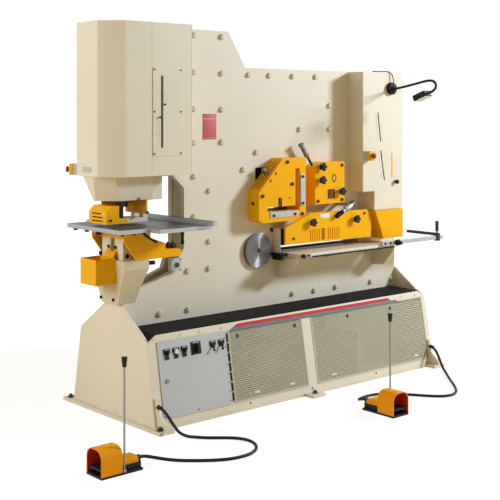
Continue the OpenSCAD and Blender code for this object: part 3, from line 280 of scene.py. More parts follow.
def ground_steel(name, colour, rough, stretch):
    made = Finish(name)
    lines = made.noise(scale=30.0, detail=4.0, stretch=stretch)
    stain = made.noise(scale=6.0, detail=4.0)
    tone = made.mix(lines, linear(colour, 0.82), linear(colour, 1.12))
    tone = made.mix((stain > 0.62) * 0.25, tone, linear(colour, 0.55))
    made.set(Base_Color=tone, Metallic=1.0, Roughness=rough + lines * 0.16 + stain * 0.08)
    made.set(Normal=made.bump(lines, 0.12, 0.0004, made.rounded(FINE_RIM)))
    return made.material


def worktop(name, top, side):
    """Plate that is darker on its upward faces than on its ground edges."""
    made = Finish(name)
    stain = made.noise(scale=7.0, detail=5.0)
    upward = made.node("SeparateXYZ", {}, {0: made.facing()}, out="Z")
    upper = made.mix(stain, linear(top, 0.7), linear(top, 1.3))
    made.set(Base_Color=made.mix(upward > 0.7, linear(side), upper), Metallic=0.8)
    made.set(Roughness=0.34 + stain * 0.2, Normal=made.rounded(FINE_RIM))
    return made.material


def turned_steel(name, colour, centre):
    made = Finish(name)
    away = made.vector("SUBTRACT", {0: made.place(), 1: centre})
    radius = made.vector("LENGTH", {0: away}, out="Value")
    rings = made.node("TexNoise", ONE_WAY, {"W": radius, "Scale": 900.0, "Detail": 3.0})
    broad = made.node("TexNoise", ONE_WAY, {"W": radius, "Scale": 90.0, "Detail": 2.0})
    tone = made.mix(broad, linear(colour, 0.75), linear(colour, 1.1))
    outward = made.vector("NORMALIZE", {0: away})
    lean = made.vector("SCALE", {0: outward, "Scale": (rings - 0.5) * 3.0})
    tilted = made.vector("ADD", {0: made.facing(), 1: lean})
    made.set(Base_Color=tone, Metallic=1.0, Roughness=0.2 + broad * 0.1)
    made.set(Normal=made.vector("NORMALIZE", {0: tilted}))
    return made.material


def black_oxide(name, colour, rough):
    made = Finish(name)
    patch = made.noise(scale=18.0, detail=5.0)
    rounded = made.rounded(radius=0.0012)
    worn = made.worn_edge(rounded)
    tone = made.mix(patch, linear(colour, 0.7), linear(colour, 1.3))
    tone = made.mix(worn * 0.5, tone, linear("#8d8a84"))
    made.set(Base_Color=tone, Metallic=0.75, Roughness=rough + patch * 0.2, Normal=rounded)
    return made.material


STEEL = ground_steel("ground_steel", "#b4b5b6", 0.26, (1, 14, 14))
WORKTOP = worktop("punch_table_steel", "#4e4c4a", "#a4a3a1")
TABLE_STEEL = ground_steel("table_steel", "#8d8a85", 0.34, (1, 10, 10))
BLADE_STEEL = ground_steel("blade_steel", "#a3a6a8", 0.28, (12, 1, 1))
PIVOT_STEEL = turned_steel("turned_pivot_steel", "#7c7976", [v * MM for v in PIVOT_AT])
HANDLE_STEEL = ground_steel("handle_steel", "#7f786c", 0.36, (6, 6, 1))
DARK_STEEL = black_oxide("black_oxide_steel", "#3b3835", 0.4)
# A near-black film for painted shade: in gaps, in the slit, on the guard's side and in the hinge's joint.
PAINTED_SHADE_BLACK = black_oxide("hinge_shade", "#1c1b1a", 0.6)
print("finishes with metals:", len(bpy.data.materials))

# %% [markdown]
# ## Rubber and plastic
#
# Grips, knobs and housings are moulded, and a soft grain breaks up their highlight. The tread strips are
# ribbed rubber. Ribs this fine could be cut as geometry, but a folded ramp across the strip, fed into a
# Bump node, gives the same light at a fraction of the faces.


# %% Plastics and rubber
def moulded(name, colour, rough, grain=0.2):
    made = Finish(name)
    cloud = made.noise(scale=14.0, detail=3.0)
    fine = made.noise(scale=700.0)
    tone = made.mix(cloud, linear(colour, 0.85), linear(colour, 1.15))
    made.set(Base_Color=tone, Roughness=rough + cloud * 0.12, Specular_IOR_Level=0.2)
    made.set(Normal=made.bump(fine, grain, 0.0004, made.rounded(FINE_RIM)))
    return made.material


def ribbed_tread(name, colour, pitch):
    made = Finish(name)
    across = made.node("SeparateXYZ", {}, {0: made.place()}, out="Y")
    wave = across.math("PINGPONG", across, pitch / 2)
    rib = wave * (2 / pitch)
    scuff = made.noise(scale=9.0, detail=6.0)
    tone = made.mix(scuff, linear(colour, 0.7), linear(colour, 1.7))
    made.set(Base_Color=tone, Roughness=0.6 + scuff * 0.25, Specular_IOR_Level=0.1)
    made.set(Normal=made.bump(rib, 0.8, 0.002))
    return made.material


BLACK = moulded("black_plastic", "#151516", 0.36)
BLACK_SOFT = moulded("black_soft_grip", "#121213", 0.55, 0.5)
STOP_RED = moulded("stop_button_red", "#b3181d", 0.25, 0.05)
STOP_YELLOW = moulded("stop_box_yellow", "#e7b413", 0.3, 0.1)
BOX_GREY = moulded("switch_box_grey", "#b9bbb9", 0.4, 0.1)
PUSH_WHITE = moulded("push_button_white", "#e8e6df", 0.28, 0.05)
CABLE = moulded("cable_sheath", "#151516", 0.42, 0.3)
TREAD = ribbed_tread("ribbed_tread", "#141211", pitch=0.012)
PEDAL_RED = moulded("pedal_inside_red", "#d63c16", 0.5, 0.3)
LENS = moulded("lamp_lens", "#dfe0da", 0.2, 0.05)
print("all finishes:", len(bpy.data.materials))

# %% [markdown]
# ## Which solid wears what
#
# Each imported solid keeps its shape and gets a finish. A table of names is easier to read than a row of
# calls, and a name that is missing stops the script here and not in the render.

# %% Dress the solids
WEARS = {
    CREAM: "base_plate base_box punch_cover punch_slot_panel punch_head stripper_arms die_holder "
           "shear_covers cable_brackets",
    CREAM_PLATE: "front_frame_plate rear_frame_plate",
    CREAM_PAINTED_SHADE: "frame_spacers frame_bolts shear_table pedestal",
    AMBER: "stripper_guard slug_bin table_brackets angle_shear_plate section_holddown flat_shear_guard "
           "end_guard",
    DOOR_GREY: "cabinet_door control_cabinet",
    PACK_GREY: "power_pack",
    PANEL_OLIVE: "mesh_panels",
    TREAD: "tread_plates",
    ORANGE: "pedal_hoods",
    STEEL: "punch_ram shear_cylinder shear_rod length_bar",
    WORKTOP: "punch_table gauge_fence",
    BLADE_STEEL: "fixed_blades",
    PIVOT_STEEL: "pivot_shaft",
    DARK_STEEL: "punch die length_stop holddown_spindle shear_beam moving_blades",
    BLACK: "control_plates main_switch mode_selector stroke_selector star_knob_1 star_knob_2 star_knob_3 "
           "star_knob_4 work_lamp pedal_bases left_treadle right_treadle",
    PUSH_WHITE: "start_button",
    STOP_YELLOW: "estop_boxes",
    STOP_RED: "left_estop_button right_estop_button",
    CABLE: "left_pedal_cable right_pedal_cable",
}
for finish, names in WEARS.items():
    for name in names.split():
        solids[name].data.materials.clear()
        solids[name].data.materials.append(finish)
dressed = sum(len(names.split()) for names in WEARS.values())
print("dressed", dressed, "of", len(solids))

# %% [markdown]
# ## Tools for new pieces
#
# The pieces are small: caps, screws, strips and plates. Three makers cover them. One turns a profile round
# an axis as a lathe does, one cuts a plate from an outline, and one pulls a tube along a route. Each takes
# its place from a small local frame: an origin on the machine, a direction across and a direction up.


# %% Local frames and finished pieces
def seat(origin, across=(1, 0, 0), up=(0, 0, 1)):
    """A frame on a face of the machine, in mm: x across, y up, z out of the face."""
    u = Vector(across).normalized()
    v = Vector(up).normalized()
    n = u.cross(v)
    frame_matrix = Matrix((u, v, n)).transposed().to_4x4()
    frame_matrix.translation = Vector(origin) * MM
    return frame_matrix @ Matrix.Scale(MM, 4)


def spot(where, x, y, out=0.0):
    """The same frame, moved to a place on its face."""
    return where @ Matrix.Translation((x, y, out))


def piece(name, mesh_data, finish, body, smooth=40):
    """Makes an object of the mesh. Edges sharper than smooth degrees stay sharp."""
    mesh = bpy.data.meshes.new(name)
    mesh_data.normal_update()
    bmesh.ops.recalc_face_normals(mesh_data, faces=mesh_data.faces)
    mesh_data.to_mesh(mesh)
    mesh_data.free()
    mesh.polygons.foreach_set("use_smooth", [True] * len(mesh.polygons))
    mesh.set_sharp_from_angle(angle=math.radians(smooth))
    mesh.materials.append(finish)
    made = bpy.data.objects.new(name, mesh)
    bpy.context.scene.collection.objects.link(made)
    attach(made, body)
    return made


print("frames ready")


# %% The lathe and the cutter
def circle(radius, sides):
    turns = [2 * math.pi * k / sides for k in range(sides)]
    return [(radius * math.cos(a), radius * math.sin(a)) for a in turns]


def turn_into(mesh_data, profile, where, sides=32):
    """Adds a turned form: profile points are (radius, height out of the face), in mm."""
    rings = []
    for radius, height in profile:
        corners = circle(radius, sides) if radius else [(0, 0)]
        rings.append([mesh_data.verts.new(where @ Vector((x, y, height))) for x, y in corners])
    for low, high in zip(rings, rings[1:]):
        for k in range(sides):
            j = (k + 1) % sides
            if len(low) == 1:
                mesh_data.faces.new((low[0], high[k], high[j]))
            elif len(high) == 1:
                mesh_data.faces.new((low[k], low[j], high[0]))
            else:
                mesh_data.faces.new((low[k], low[j], high[j], high[k]))
    for end in (rings[0], rings[-1]):
        if len(end) > 1:
            mesh_data.faces.new(end)


def cut_into(mesh_data, outline, low, high, where, soft=0.0):
    """Adds a plate: outline points are (across, up), its thickness runs from low to high, in mm."""
    bottom = [mesh_data.verts.new(where @ Vector((x, y, low))) for x, y in outline]
    top = [mesh_data.verts.new(where @ Vector((x, y, high))) for x, y in outline]
    lid = [mesh_data.faces.new(top), mesh_data.faces.new(bottom[::-1])]
    rim = []
    for k in range(len(outline)):
        j = (k + 1) % len(outline)
        rim.append(mesh_data.faces.new((bottom[k], bottom[j], top[j], top[k])))
    if soft:
        edges = list({e for f in lid + rim for e in f.edges})
        bmesh.ops.bevel(mesh_data, geom=edges, offset=soft * MM, segments=3, profile=0.5, affect="EDGES")


def block(left, low, right, high):
    return [(left, low), (right, low), (right, high), (left, high)]


def border(left, low, right, high, wide):
    """Four strips around a rectangle."""
    return (block(left, low, right, low + wide), block(left, high - wide, right, high),
            block(left, low + wide, left + wide, high - wide),
            block(right - wide, low + wide, right, high - wide))


def film(name, finish, outline, low, high, where, soft=0.0):
    """A plate that is a piece of its own, on the machine."""
    cut = bmesh.new()
    cut_into(cut, outline, low, high, where, soft)
    piece(name, cut, finish, "machine")


def spun(name, finish, profile, where, sides, body="machine"):
    """A turned form that is a piece of its own."""
    turned = bmesh.new()
    turn_into(turned, profile, where, sides)
    piece(name, turned, finish, body)


print("lathe and cutter ready")


# %% The tube puller
def smooth_route(points, steps):
    """A Catmull-Rom curve through the points."""
    ends = [points[0]] + list(points) + [points[-1]]
    made = []
    for a, b, c, d in zip(ends, ends[1:], ends[2:], ends[3:]):
        for k in range(steps):
            t = k / steps
            made.append(0.5 * (2 * b + (c - a) * t + (2 * a - 5 * b + 4 * c - d) * t * t
                               + (3 * b - a - 3 * c + d) * t ** 3))
    made.append(points[-1])
    return made


def pull_into(mesh_data, points, radii, sides=14):
    """Adds a round tube through points in metres. radii is one radius in metres for each point."""
    last = len(points) - 1
    heading = [(points[min(i + 1, last)] - points[max(i - 1, 0)]).normalized() for i in range(last + 1)]
    side = heading[0].orthogonal().normalized()
    rings = []
    for at, ahead, radius in zip(points, heading, radii):
        side = (side - ahead * side.dot(ahead)).normalized()
        other = ahead.cross(side)
        rings.append([mesh_data.verts.new(at + radius * (x * side + y * other))
                      for x, y in circle(1, sides)])
    for low, high in zip(rings, rings[1:]):
        for k in range(sides):
            j = (k + 1) % sides
            mesh_data.faces.new((low[k], low[j], high[j], high[k]))
    mesh_data.faces.new(rings[0][::-1])
    mesh_data.faces.new(rings[-1])


print("makers ready")

# %% [markdown]
# ## The two pedal cables
#
# Each pedal hangs on one length of rubber cable: out of a bracket on the base's foot, down, over the floor
# in a lazy curve and into the back of the pedal. The route's points are those of the solid, so the cable
# lies where the solid lies. A curve through the points keeps every bend round.

# %% Cables
CABLE_D = 18
LEFT_ROUTE = (
    (-1228, -434, 140), (-1227, -452, 138), (-1223, -484, 126), (-1216, -518, 98), (-1207, -552, 60),
    (-1196, -592, 25), (-1178, -640, 10), (-1150, -692, 10), (-1114, -738, 10), (-1072, -775, 10),
    (-1030, -812, 10), (-995, -850, 10), (-972, -895, 10), (-966, -945, 10), (-980, -1000, 10),
    (-1010, -1048, 10), (-1055, -1088, 10), (-1105, -1112, 10), (-1160, -1120, 10), (-1215, -1116, 10),
    (-1270, -1100, 10), (-1325, -1070, 10), (-1375, -1034, 10), (-1425, -992, 10), (-1475, -946, 11),
    (-1525, -902, 17), (-1575, -868, 29), (-1620, -852, 41), (-1659, -850, 45))
RIGHT_ROUTE = (
    (1228, -434, 140), (1227, -452, 138), (1223, -484, 126), (1214, -518, 96), (1199, -554, 56),
    (1178, -592, 22), (1146, -636, 10), (1100, -686, 10), (1052, -736, 10), (1004, -788, 10),
    (958, -838, 10), (914, -888, 10), (868, -938, 10), (822, -984, 10), (775, -1026, 10), (725, -1058, 10),
    (670, -1074, 10), (615, -1064, 10), (568, -1030, 10), (528, -982, 10), (492, -930, 10),
    (456, -876, 10), (418, -826, 10), (374, -782, 10), (324, -750, 10), (270, -734, 10), (214, -732, 10),
    (160, -744, 11), (115, -768, 17), (84, -802, 29), (70, -842, 41), (67, -884, 45))


def pedal_cable(name, route, node):
    points = smooth_route([Vector(p) * MM for p in route], 6)
    length = sum((b - a).length for a, b in zip(points, points[1:]))
    tube = bmesh.new()
    pull_into(tube, points, [CABLE_D / 2 * MM] * len(points), 16)
    made = piece(name, tube, CABLE, "machine")
    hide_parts(node)
    print(name, round(length, 3), "m")


pedal_cable("left_cable", LEFT_ROUTE, "left_pedal_cable")
pedal_cable("right_cable", RIGHT_ROUTE, "right_pedal_cable")

# %% [markdown]
# ## Perforated panels
#
# Two sheets with thousands of punched holes close the base and let the oil tank breathe. A picture of
# holes would look flat from the side, so the holes are real. The sheet is a honeycomb: each cell is a ring
# of six faces around its hole, with a back and a wall. A plain border hides the honeycomb's ragged edge.

# %% Panels
LEAN_UP = (0, 0.173265, 0.984875)
LEAN_IN = (0, 0.984875, -0.173265)
LEAN = seat((0, -445, 0), (1, 0, 0), LEAN_UP)
HOLE_PITCH = 15.0
HOLE_SHARE = 0.62
PANELS = ((-644.6, -5.1), (75.5, 1216.4))
PANEL_LOW = 58.0
PANEL_HIGH = 506.5
PANEL_RIM = 10.0
PANEL_INSET = 3
SHEET_BACK = 0.6
SHEET_FRONT = 2.6


def honeycomb_into(mesh_data, left, low, right, high, where):
    reach = HOLE_PITCH / math.sqrt(3)
    row_step = 1.5 * reach
    turns = [(math.sin(k * math.pi / 3) * reach, math.cos(k * math.pi / 3) * reach) for k in range(6)]
    shared = {}

    def corner(x, y, depth):
        key = (round(x, 1), round(y, 1), depth)
        if key not in shared:
            shared[key] = mesh_data.verts.new(where @ Vector((x, y, depth)))
        return shared[key]

    cells = 0
    for row in range(int((high - low - 2 * reach) / row_step) + 1):
        y = low + reach + row * row_step
        x = left + HOLE_PITCH * (0.5 + 0.5 * (row % 2))
        while x + HOLE_PITCH / 2 <= right:
            outer = [[corner(x + a, y + b, d) for a, b in turns] for d in (SHEET_FRONT, SHEET_BACK)]
            inner = [[mesh_data.verts.new(where @ Vector((x + a * HOLE_SHARE, y + b * HOLE_SHARE, d)))
                      for a, b in turns] for d in (SHEET_FRONT, SHEET_BACK)]
            for k in range(6):
                j = (k + 1) % 6
                mesh_data.faces.new((outer[0][k], inner[0][k], inner[0][j], outer[0][j]))
                mesh_data.faces.new((outer[1][j], inner[1][j], inner[1][k], outer[1][k]))
                mesh_data.faces.new((inner[0][k], inner[1][k], inner[1][j], inner[0][j]))
            cells += 1
            x += HOLE_PITCH
    return cells


sheet = bmesh.new()
holes = 0
for left, right in PANELS:
    holes += honeycomb_into(sheet, left + PANEL_INSET, PANEL_LOW + PANEL_INSET, right - PANEL_INSET,
                            PANEL_HIGH - PANEL_INSET, LEAN)
    for strip in border(left, PANEL_LOW, right, PANEL_HIGH, PANEL_RIM):
        cut_into(sheet, strip, 0, 3, LEAN)
panels = piece("perforated_panels", sheet, PANEL_OLIVE, "machine", smooth=20)
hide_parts("mesh_panels")
print("punched holes:", holes)

# %% [markdown]
# ## Screws
#
# A machine is held together by socket screws, and each one is a small turned form: a washer, a head with a
# broken edge and a recess for the key. One helper adds such screws to a mesh wherever a local frame says.
# Many screws of one finish then share one object, which keeps the outliner short.


# %% Screws on the panels, the rails and the feet
def screws_into(mesh_data, where, places, radius, tall, washer=0.0, out=0.0):
    head = [(radius, 0), (radius, 0.72 * tall), (0.9 * radius, 0.94 * tall), (0.8 * radius, tall),
            (0.52 * radius, tall), (0.48 * radius, 0.45 * tall), (0, 0.4 * tall)]
    ring = [(washer, 0), (washer, 1.2), (0.94 * washer, 1.8), (radius, 1.8)]
    for x, y in places:
        if washer:
            turn_into(mesh_data, ring, spot(where, x, y, out), 22)
        turn_into(mesh_data, head, spot(where, x, y, out), 18)


def nut_into(mesh_data, place, across, tall, washer):
    """A washer, a six-sided nut and the end of its bolt."""
    turn_into(mesh_data, [(washer, 0), (washer, 3), (0.95 * washer, 4), (across / 2, 4)], place, 28)
    turn_into(mesh_data, [(0.57 * across, 4), (0.57 * across, 3 + 0.85 * tall), (0.5 * across, 4 + tall),
                          (0, 4 + tall)], place, 6)
    turn_into(mesh_data, [(0.28 * across, 4 + tall), (0.28 * across, 8 + tall),
                          (0.22 * across, 10 + tall), (0, 10 + tall)], place, 20)


TOP_RAIL = 524
LOW_RAIL = 40
panel_screws = bmesh.new()
screws_into(panel_screws, LEAN, [(x, 461) for x in (-568, -75, 424, 861)], 6, 4, washer=13, out=2.6)
screws_into(panel_screws, LEAN, [(x, LOW_RAIL) for x in (-520, 20, 640)], 6, 3.5)
piece("panel_screws", panel_screws, DARK_STEEL, "machine")
tabs = bmesh.new()
for x in (-461, -158, 230, 1071):
    cut_into(tabs, block(x - 24, 92, x + 24, 106), 2.4, 7, LEAN, 1.5)
piece("panel_tabs", tabs, CREAM, "machine")
rail_screws = bmesh.new()
screws_into(rail_screws, LEAN, [(x, TOP_RAIL) for x in (-1205, -1010, -860, -690, 1000, 1150)], 6, 3.5)
screws_into(rail_screws, LEAN, [(x, LOW_RAIL) for x in (-1150, 1180)], 6, 3.5)
piece("rail_screws", rail_screws, CREAM_PAINTED_SHADE, "machine")
anchors = bmesh.new()
for x in (-1253, 0, 1253):
    for y in (-485, 485):
        nut_into(anchors, seat((x, y, 20), (1, 0, 0), (0, 1, 0)), across=26, tall=12, washer=20)
piece("anchor_nuts", anchors, DARK_STEEL, "machine")
print("screws placed")

# %% [markdown]
# ## The coloured band and the blank plates
#
# Along the top rail runs a band of red over slate, with slanted ends. It is a film less than a millimetre
# thick, but a film still has an edge, so it is cut as a thin plate. The plates on the frame, the cover and
# the guard are cut in the same way, and one is held by rivets.

# %% Band and plates
FRONT = seat((0, -85, 0))
COVER = seat((0, -230, 0))
SLOT_PANEL = seat((0, -233, 0))
COVER_END = seat((-1438, 0, 0), (0, -1, 0))
ANGLE = seat((0, -195, 0))
SECTION = seat((0, -190, 0))
GUARD = seat((0, -215, 0))
RED_BAND = [(-603, 514), (889, 514), (853, 535), (-559, 535)]
SLATE_BAND = [(-641, 496), (962, 496), (930, 513), (-605, 513)]
# The white strip along the rail's top edge is a painted highlight of its rounded edge, and also the white
# outline at the band's right end.
RAIL_HIGHLIGHT_BAND = [(-557, 536), (905, 536), (905, 546), (-640, 546)]
film("red_band", RED, RED_BAND, 0, 0.7, LEAN)
film("slate_band", SLATE, SLATE_BAND, 0, 3.5, LEAN)
film("rail_highlight_band", WHITE, RAIL_HIGHLIGHT_BAND, 0, 0.5, LEAN)
film("red_plate", NOTICE, block(-622, 1679, -508, 1845), 0, 1.2, FRONT, 0.5)
for height, z in (("low", 1688), ("high", 1812)):
    film("red_plate_line_" + height, WHITE, block(-614, z, -516, z + 2), 1.2, 1.5, FRONT)
film("end_plate", BOX_GREY, block(-50, 1493, 48, 1527), 0, 1.5, COVER_END, 0.6)
film("guard_plate", WHITE, block(312, 1120, 402, 1150), 0, 1.2, GUARD, 0.5)
rivets = bmesh.new()
screws_into(rivets, COVER_END, [(-44, 1510), (42, 1510)], 3, 1.6, out=1.5)
piece("plate_rivets", rivets, STEEL, "machine")
print("bands and plates cut")

# %% [markdown]
# ## Seams, scales and stroke knobs
#
# The cylinder's cover is folded from sheet. Seams run down its front, the access panel is screwed on, and
# in the panel's slot two small knobs set the stroke, beside white scales. The shear's cover and the front
# edge of its table carry such scales too, the table's over a black strip of painted shade. The ticks are
# real strips, long at every fifth place.

# %% Seams and panel screws
seams = bmesh.new()
cut_into(seams, block(-1126, 1474, -1124.6, 2396), 0, 0.5, COVER)
cut_into(seams, block(-825, 1480, -823.6, 2392), 0, 0.5, COVER)
piece("cover_seams", seams, SEAM, "machine", smooth=20)
panel_bolts = bmesh.new()
screws_into(panel_bolts, SLOT_PANEL, [(x, z) for z in (1603, 1858, 2113) for x in (-1109, -909)], 5.5, 4)
piece("slot_panel_screws", panel_bolts, DARK_STEEL, "machine")
print("cover seamed")

# %% Scales and knobs
STRIP_T = 0.8
TICK_TOP = 1.1
TICK_HALF = 0.8
TABLE_EDGE = seat((0, -307, 0))
# Each row: the face, the start, the end, the width and the number of steps.
SCALES = (
    (SLOT_PANEL, (-1032, 1911), (-1032, 2065), 15, 15),
    (SLOT_PANEL, (-1077, 1661), (-1077, 1815), 15, 15),
    (COVER, (868, 1850), (900, 1640), 12, 20),
    (COVER, (899, 1570), (941, 1352), 12, 20),
    (TABLE_EDGE, (147, 894.5), (973, 894.5), 19, 80),
)


def scale_into(strip, ticks, where, start, end, wide, count):
    """A pale strip from one place to another, with short ticks and a long one at every fifth."""
    run = Vector(end) - Vector(start)
    along = spot(where, *start) @ Matrix.Rotation(math.atan2(run.y, run.x), 4, "Z")
    half = wide / 2
    cut_into(strip, block(0, -half, run.length, half), 0, STRIP_T, along)
    for k in range(1, count):
        at = run.length * k / count
        reach = 0.75 if k % 5 == 0 else 0.45
        tick = block(at - TICK_HALF, -half, at + TICK_HALF, -half + reach * wide)
        cut_into(ticks, tick, STRIP_T, TICK_TOP, along)


def knob_into(mesh_data, place, radius, tall):
    turn_into(mesh_data, [(0.45 * radius, 0), (0.45 * radius, 0.3 * tall), (0.8 * radius, 0.36 * tall),
                          (radius, 0.45 * tall), (radius, 0.86 * tall), (0.9 * radius, 0.97 * tall),
                          (0.7 * radius, tall), (0, tall)], place, 24)


strips = bmesh.new()
marks = bmesh.new()
for where, start, end, wide, count in SCALES:
    scale_into(strips, marks, where, start, end, wide, count)
# A black strip below the table's scale: painted shade under the scale's edge.
film("scale_shade", BLACK, block(147, 874, 985, 884.5), 0, 2, TABLE_EDGE)
piece("scale_strips", strips, WHITE, "machine", smooth=20)
piece("scale_ticks", marks, BLACK, "machine", smooth=20)
knobs = bmesh.new()
for x, z in ((-1036, 1902), (-1072, 1824)):
    knob_into(knobs, spot(SLOT_PANEL, x, z), radius=6, tall=12)
knob_into(knobs, spot(COVER, 1078, 1344), radius=16, tall=28)
piece("stroke_knobs", knobs, BLACK, "machine")
film("amber_strip", AMBER, block(1036, 1378, 1048, 1555), 0, 1.0, COVER)
print("scales placed:", len(SCALES))

# %% [markdown]
# ## Emergency stops
#
# Each stop is a grey box with a yellow lid and a red mushroom that stands off on a neck. The box and the
# lid are cut with soft edges, as moulded parts are. The mushroom is turned, with a flared skirt and a
# rounded crown, and rides on its own body, so that it can be pressed.

# %% Stop boxes and mushrooms
LEFT_STOP = seat((-1380.5, 172.5, 1505), (-0.70711, -0.70711, 0))
RIGHT_STOP = seat((765, -230, 1543))
STOP_FACE = block(-34, -34, 34, 34)
MUSHROOM = [(11, 45), (11, 70), (12, 71), (19, 71.5), (20, 73), (20, 77), (18.6, 81), (15.5, 84),
            (10, 85.6), (0, 86)]
boxes = bmesh.new()
lids = bmesh.new()
for where in (LEFT_STOP, RIGHT_STOP):
    cut_into(boxes, STOP_FACE, 0, 34, where, 3)
    cut_into(lids, STOP_FACE, 34.6, 60, where, 4)
    turn_into(lids, [(19, 60), (19, 62), (17, 63.5), (12, 63.5)], where, 32)
    for x in (-27, 27):
        for y in (-27, 27):
            turn_into(boxes, [(3.2, 60), (3.2, 61.2), (0, 61.2)], spot(where, x, y), 14)
stop_boxes = piece("stop_boxes", boxes, BOX_GREY, "machine")
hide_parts("estop_boxes")
piece("stop_lids", lids, STOP_YELLOW, "machine")
for side, where in (("left", LEFT_STOP), ("right", RIGHT_STOP)):
    mushroom = bmesh.new()
    turn_into(mushroom, MUSHROOM, where, 40)
    cap = piece(side + "_mushroom", mushroom, STOP_RED, side + "_stop_button", smooth=50)
    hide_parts(side + "_estop_button")
print("stops built")

# %% [markdown]
# ## The work lamp
#
# The lamp is a magnet foot, a gooseneck and a flat head with a lens. A gooseneck is a wound steel strip,
# so its radius rises and falls all along. The route is the one of the solid. Its lead climbs from the foot
# over the edge of the cover.

# %% Lamp foot, gooseneck and lead
LAMP_AT = Vector((1026, -230, 2029))
NECK_ROUTE = (
    (0, -30, 0), (0, -70, 2), (0, -120, 9), (0, -170, 18), (0, -220, 27), (0, -270, 37), (0, -320, 46),
    (0, -365, 51), (0, -402, 45), (0, -422, 23), (0, -418, -3), (0, -396, -23), (0, -366, -35),
    (0, -334, -46))
LEAD_ROUTE = (
    (0, -26, 10), (8, -24, 30), (13, -19, 55), (10, -15, 80), (0, -11, 104), (-18, -6, 120),
    (-45, 1, 124), (-80, 9, 124), (-115, 16, 124), (-145, 22, 124), (-158, 24, 124), (-163, 25, 122),
    (-163, 25, 117))
WOUND_RADII = (7.6, 9.0)
LEAD_RADIUS = 3.5
foot = bmesh.new()
turn_into(foot, [(45, 0), (45, 20), (43.5, 25), (40, 27.5), (24, 28), (20, 30), (19, 37), (15, 40),
                 (0, 40)], seat(LAMP_AT), 48)
neck_points = smooth_route([(LAMP_AT + Vector(p)) * MM for p in NECK_ROUTE], 14)
pull_into(foot, neck_points, [WOUND_RADII[i % 2] * MM for i in range(len(neck_points))])
lead_points = smooth_route([(LAMP_AT + Vector(p)) * MM for p in LEAD_ROUTE], 5)
pull_into(foot, lead_points, [LEAD_RADIUS * MM] * len(lead_points), 10)
lamp = piece("lamp_foot_and_neck", foot, BLACK_SOFT, "machine", smooth=50)
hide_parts("work_lamp")
print("gooseneck turns:", len(neck_points) // 2)

# %% Lamp head
TILT = math.radians(21)
HEAD_AT = LAMP_AT + Vector((0, -298, -60))
HEAD = seat(HEAD_AT, (1, 0, 0), (0, math.cos(TILT), -math.sin(TILT)))
SHADE = [(-38, -56), (38, -56), (46, -44), (46, 44), (38, 56), (-38, 56), (-46, 44), (-46, -44)]
LENS_SHARE = 0.82
shade = bmesh.new()
cut_into(shade, SHADE, -18, 22, HEAD, 5)
for k in range(6):
    cut_into(shade, block(-30, -40 + 15 * k, 30, -34 + 15 * k), 22, 25, HEAD, 1.2)
piece("lamp_head", shade, BLACK, "machine")
pane = [(LENS_SHARE * x, LENS_SHARE * y) for x, y in SHADE]
film("lamp_lens", LENS, pane, -22, -17, HEAD, 1.5)
print("lamp built")

# %% [markdown]
# ## The shear stations
#
# Black socket screws hold the yellow plates and the ground rests. A table gives each face its screws, so
# that a row can be moved in one place. Over the angle plate's slanted edge lie four thin plates on a dark
# film of painted shade that shows in their gaps, with a clamp screw between them.

# %% Screws of the stations
REST = seat((0, -200, 0))
ANGLE_END = seat((-235, 0, 0), (0, -1, 0))
# Each row: the face, the head's radius and height, and the places.
SHEAR_SCREWS = (
    (ANGLE, 12, 11, ((21, 1519), (66, 1369), (-204, 1300), (160, 1162))),
    (REST, 10, 7, ((163, 1234), (163, 1416), (-104, 1165), (90, 1165))),
    (SECTION, 11, 9, ((318, 1238), (556, 1238), (556, 1482))),
    (GUARD, 9, 8, ((60, 1000), (760, 1130))),
    (FRONT, 15, 13, ((-22, 1056),)),
    (ANGLE_END, 10, 12, ((140, 1249),)),
)
shear_screws = bmesh.new()
for where, radius, tall, places in SHEAR_SCREWS:
    screws_into(shear_screws, where, places, radius, tall)
for strip in border(416, 1252, 480, 1316, 12):
    cut_into(shear_screws, strip, 0, 5, SECTION, 1)
piece("shear_screws", shear_screws, DARK_STEEL, "machine")
print("shear screws:", sum(len(row[3]) for row in SHEAR_SCREWS))

# %% The angle plate's slanted edge, bores and slit
SLOPE = seat((-235, 0, 1323.15), (0, -1, 0), (0.69672, 0, 0.71734))
SLOPE_PITCH = 27
SLOPE_CLAMP = [(17, 2), (17, 12), (12.5, 14), (12.5, 36), (14.5, 38), (14.5, 44), (12, 46), (0, 46)]
# A dark film under the four plates: painted shade in the gaps between them.
film("slope_shade", PAINTED_SHADE_BLACK, block(90, 34, 185, 278), 0, 0.4, SLOPE)
for k in range(4):
    left = 88 + SLOPE_PITCH * k
    film("slope_plate_" + str(k + 1), AMBER, block(left, 28, left + 18, 284), 0, 3, SLOPE,
         0.6)
spun("slope_clamp", HANDLE_STEEL, SLOPE_CLAMP, spot(SLOPE, 140, 168), 32)
bores = bmesh.new()
for x, z, r in ((-84, 1445, 9), (-131, 1397, 9), (41, 1276, 6)):
    turn_into(bores, [(1.25 * r, 0), (1.25 * r, 0.8), (r, 0.9), (0.9 * r, 0.3), (0, 0.3)],
              spot(ANGLE, x, z), 24)
piece("angle_plate_bores", bores, PEDAL_RED, "machine")
# Dark films beside the slit and behind it: painted shade in the slit.
slit = bmesh.new()
cut_into(slit, block(-61, 1221.5, -54, 1282), 0, 0.4, ANGLE)
cut_into(slit, block(-38, 1221.5, -27, 1282), 0, 0.4, ANGLE)
cut_into(slit, block(-56, 1222, -36, 1283), -15, -14, ANGLE)
piece("angle_slit_shade", slit, PAINTED_SHADE_BLACK, "machine")
print("angle plate dressed")

# %% [markdown]
# ## Hold-down spindles
#
# The spindles that press the stock down have ribbed grips, which a lathe would cut from bar. They are
# turned here too, one groove after another along their own slanted axis.

# %% Spools, barrel and ribbed grips
RIB_PITCH = 5


def along_axis(start, ahead):
    """A frame whose outward axis follows a rod that leans in the machine's own plane."""
    aim = Vector(ahead).normalized()
    return seat(start, (0, 1, 0), aim.cross(Vector((0, 1, 0))))


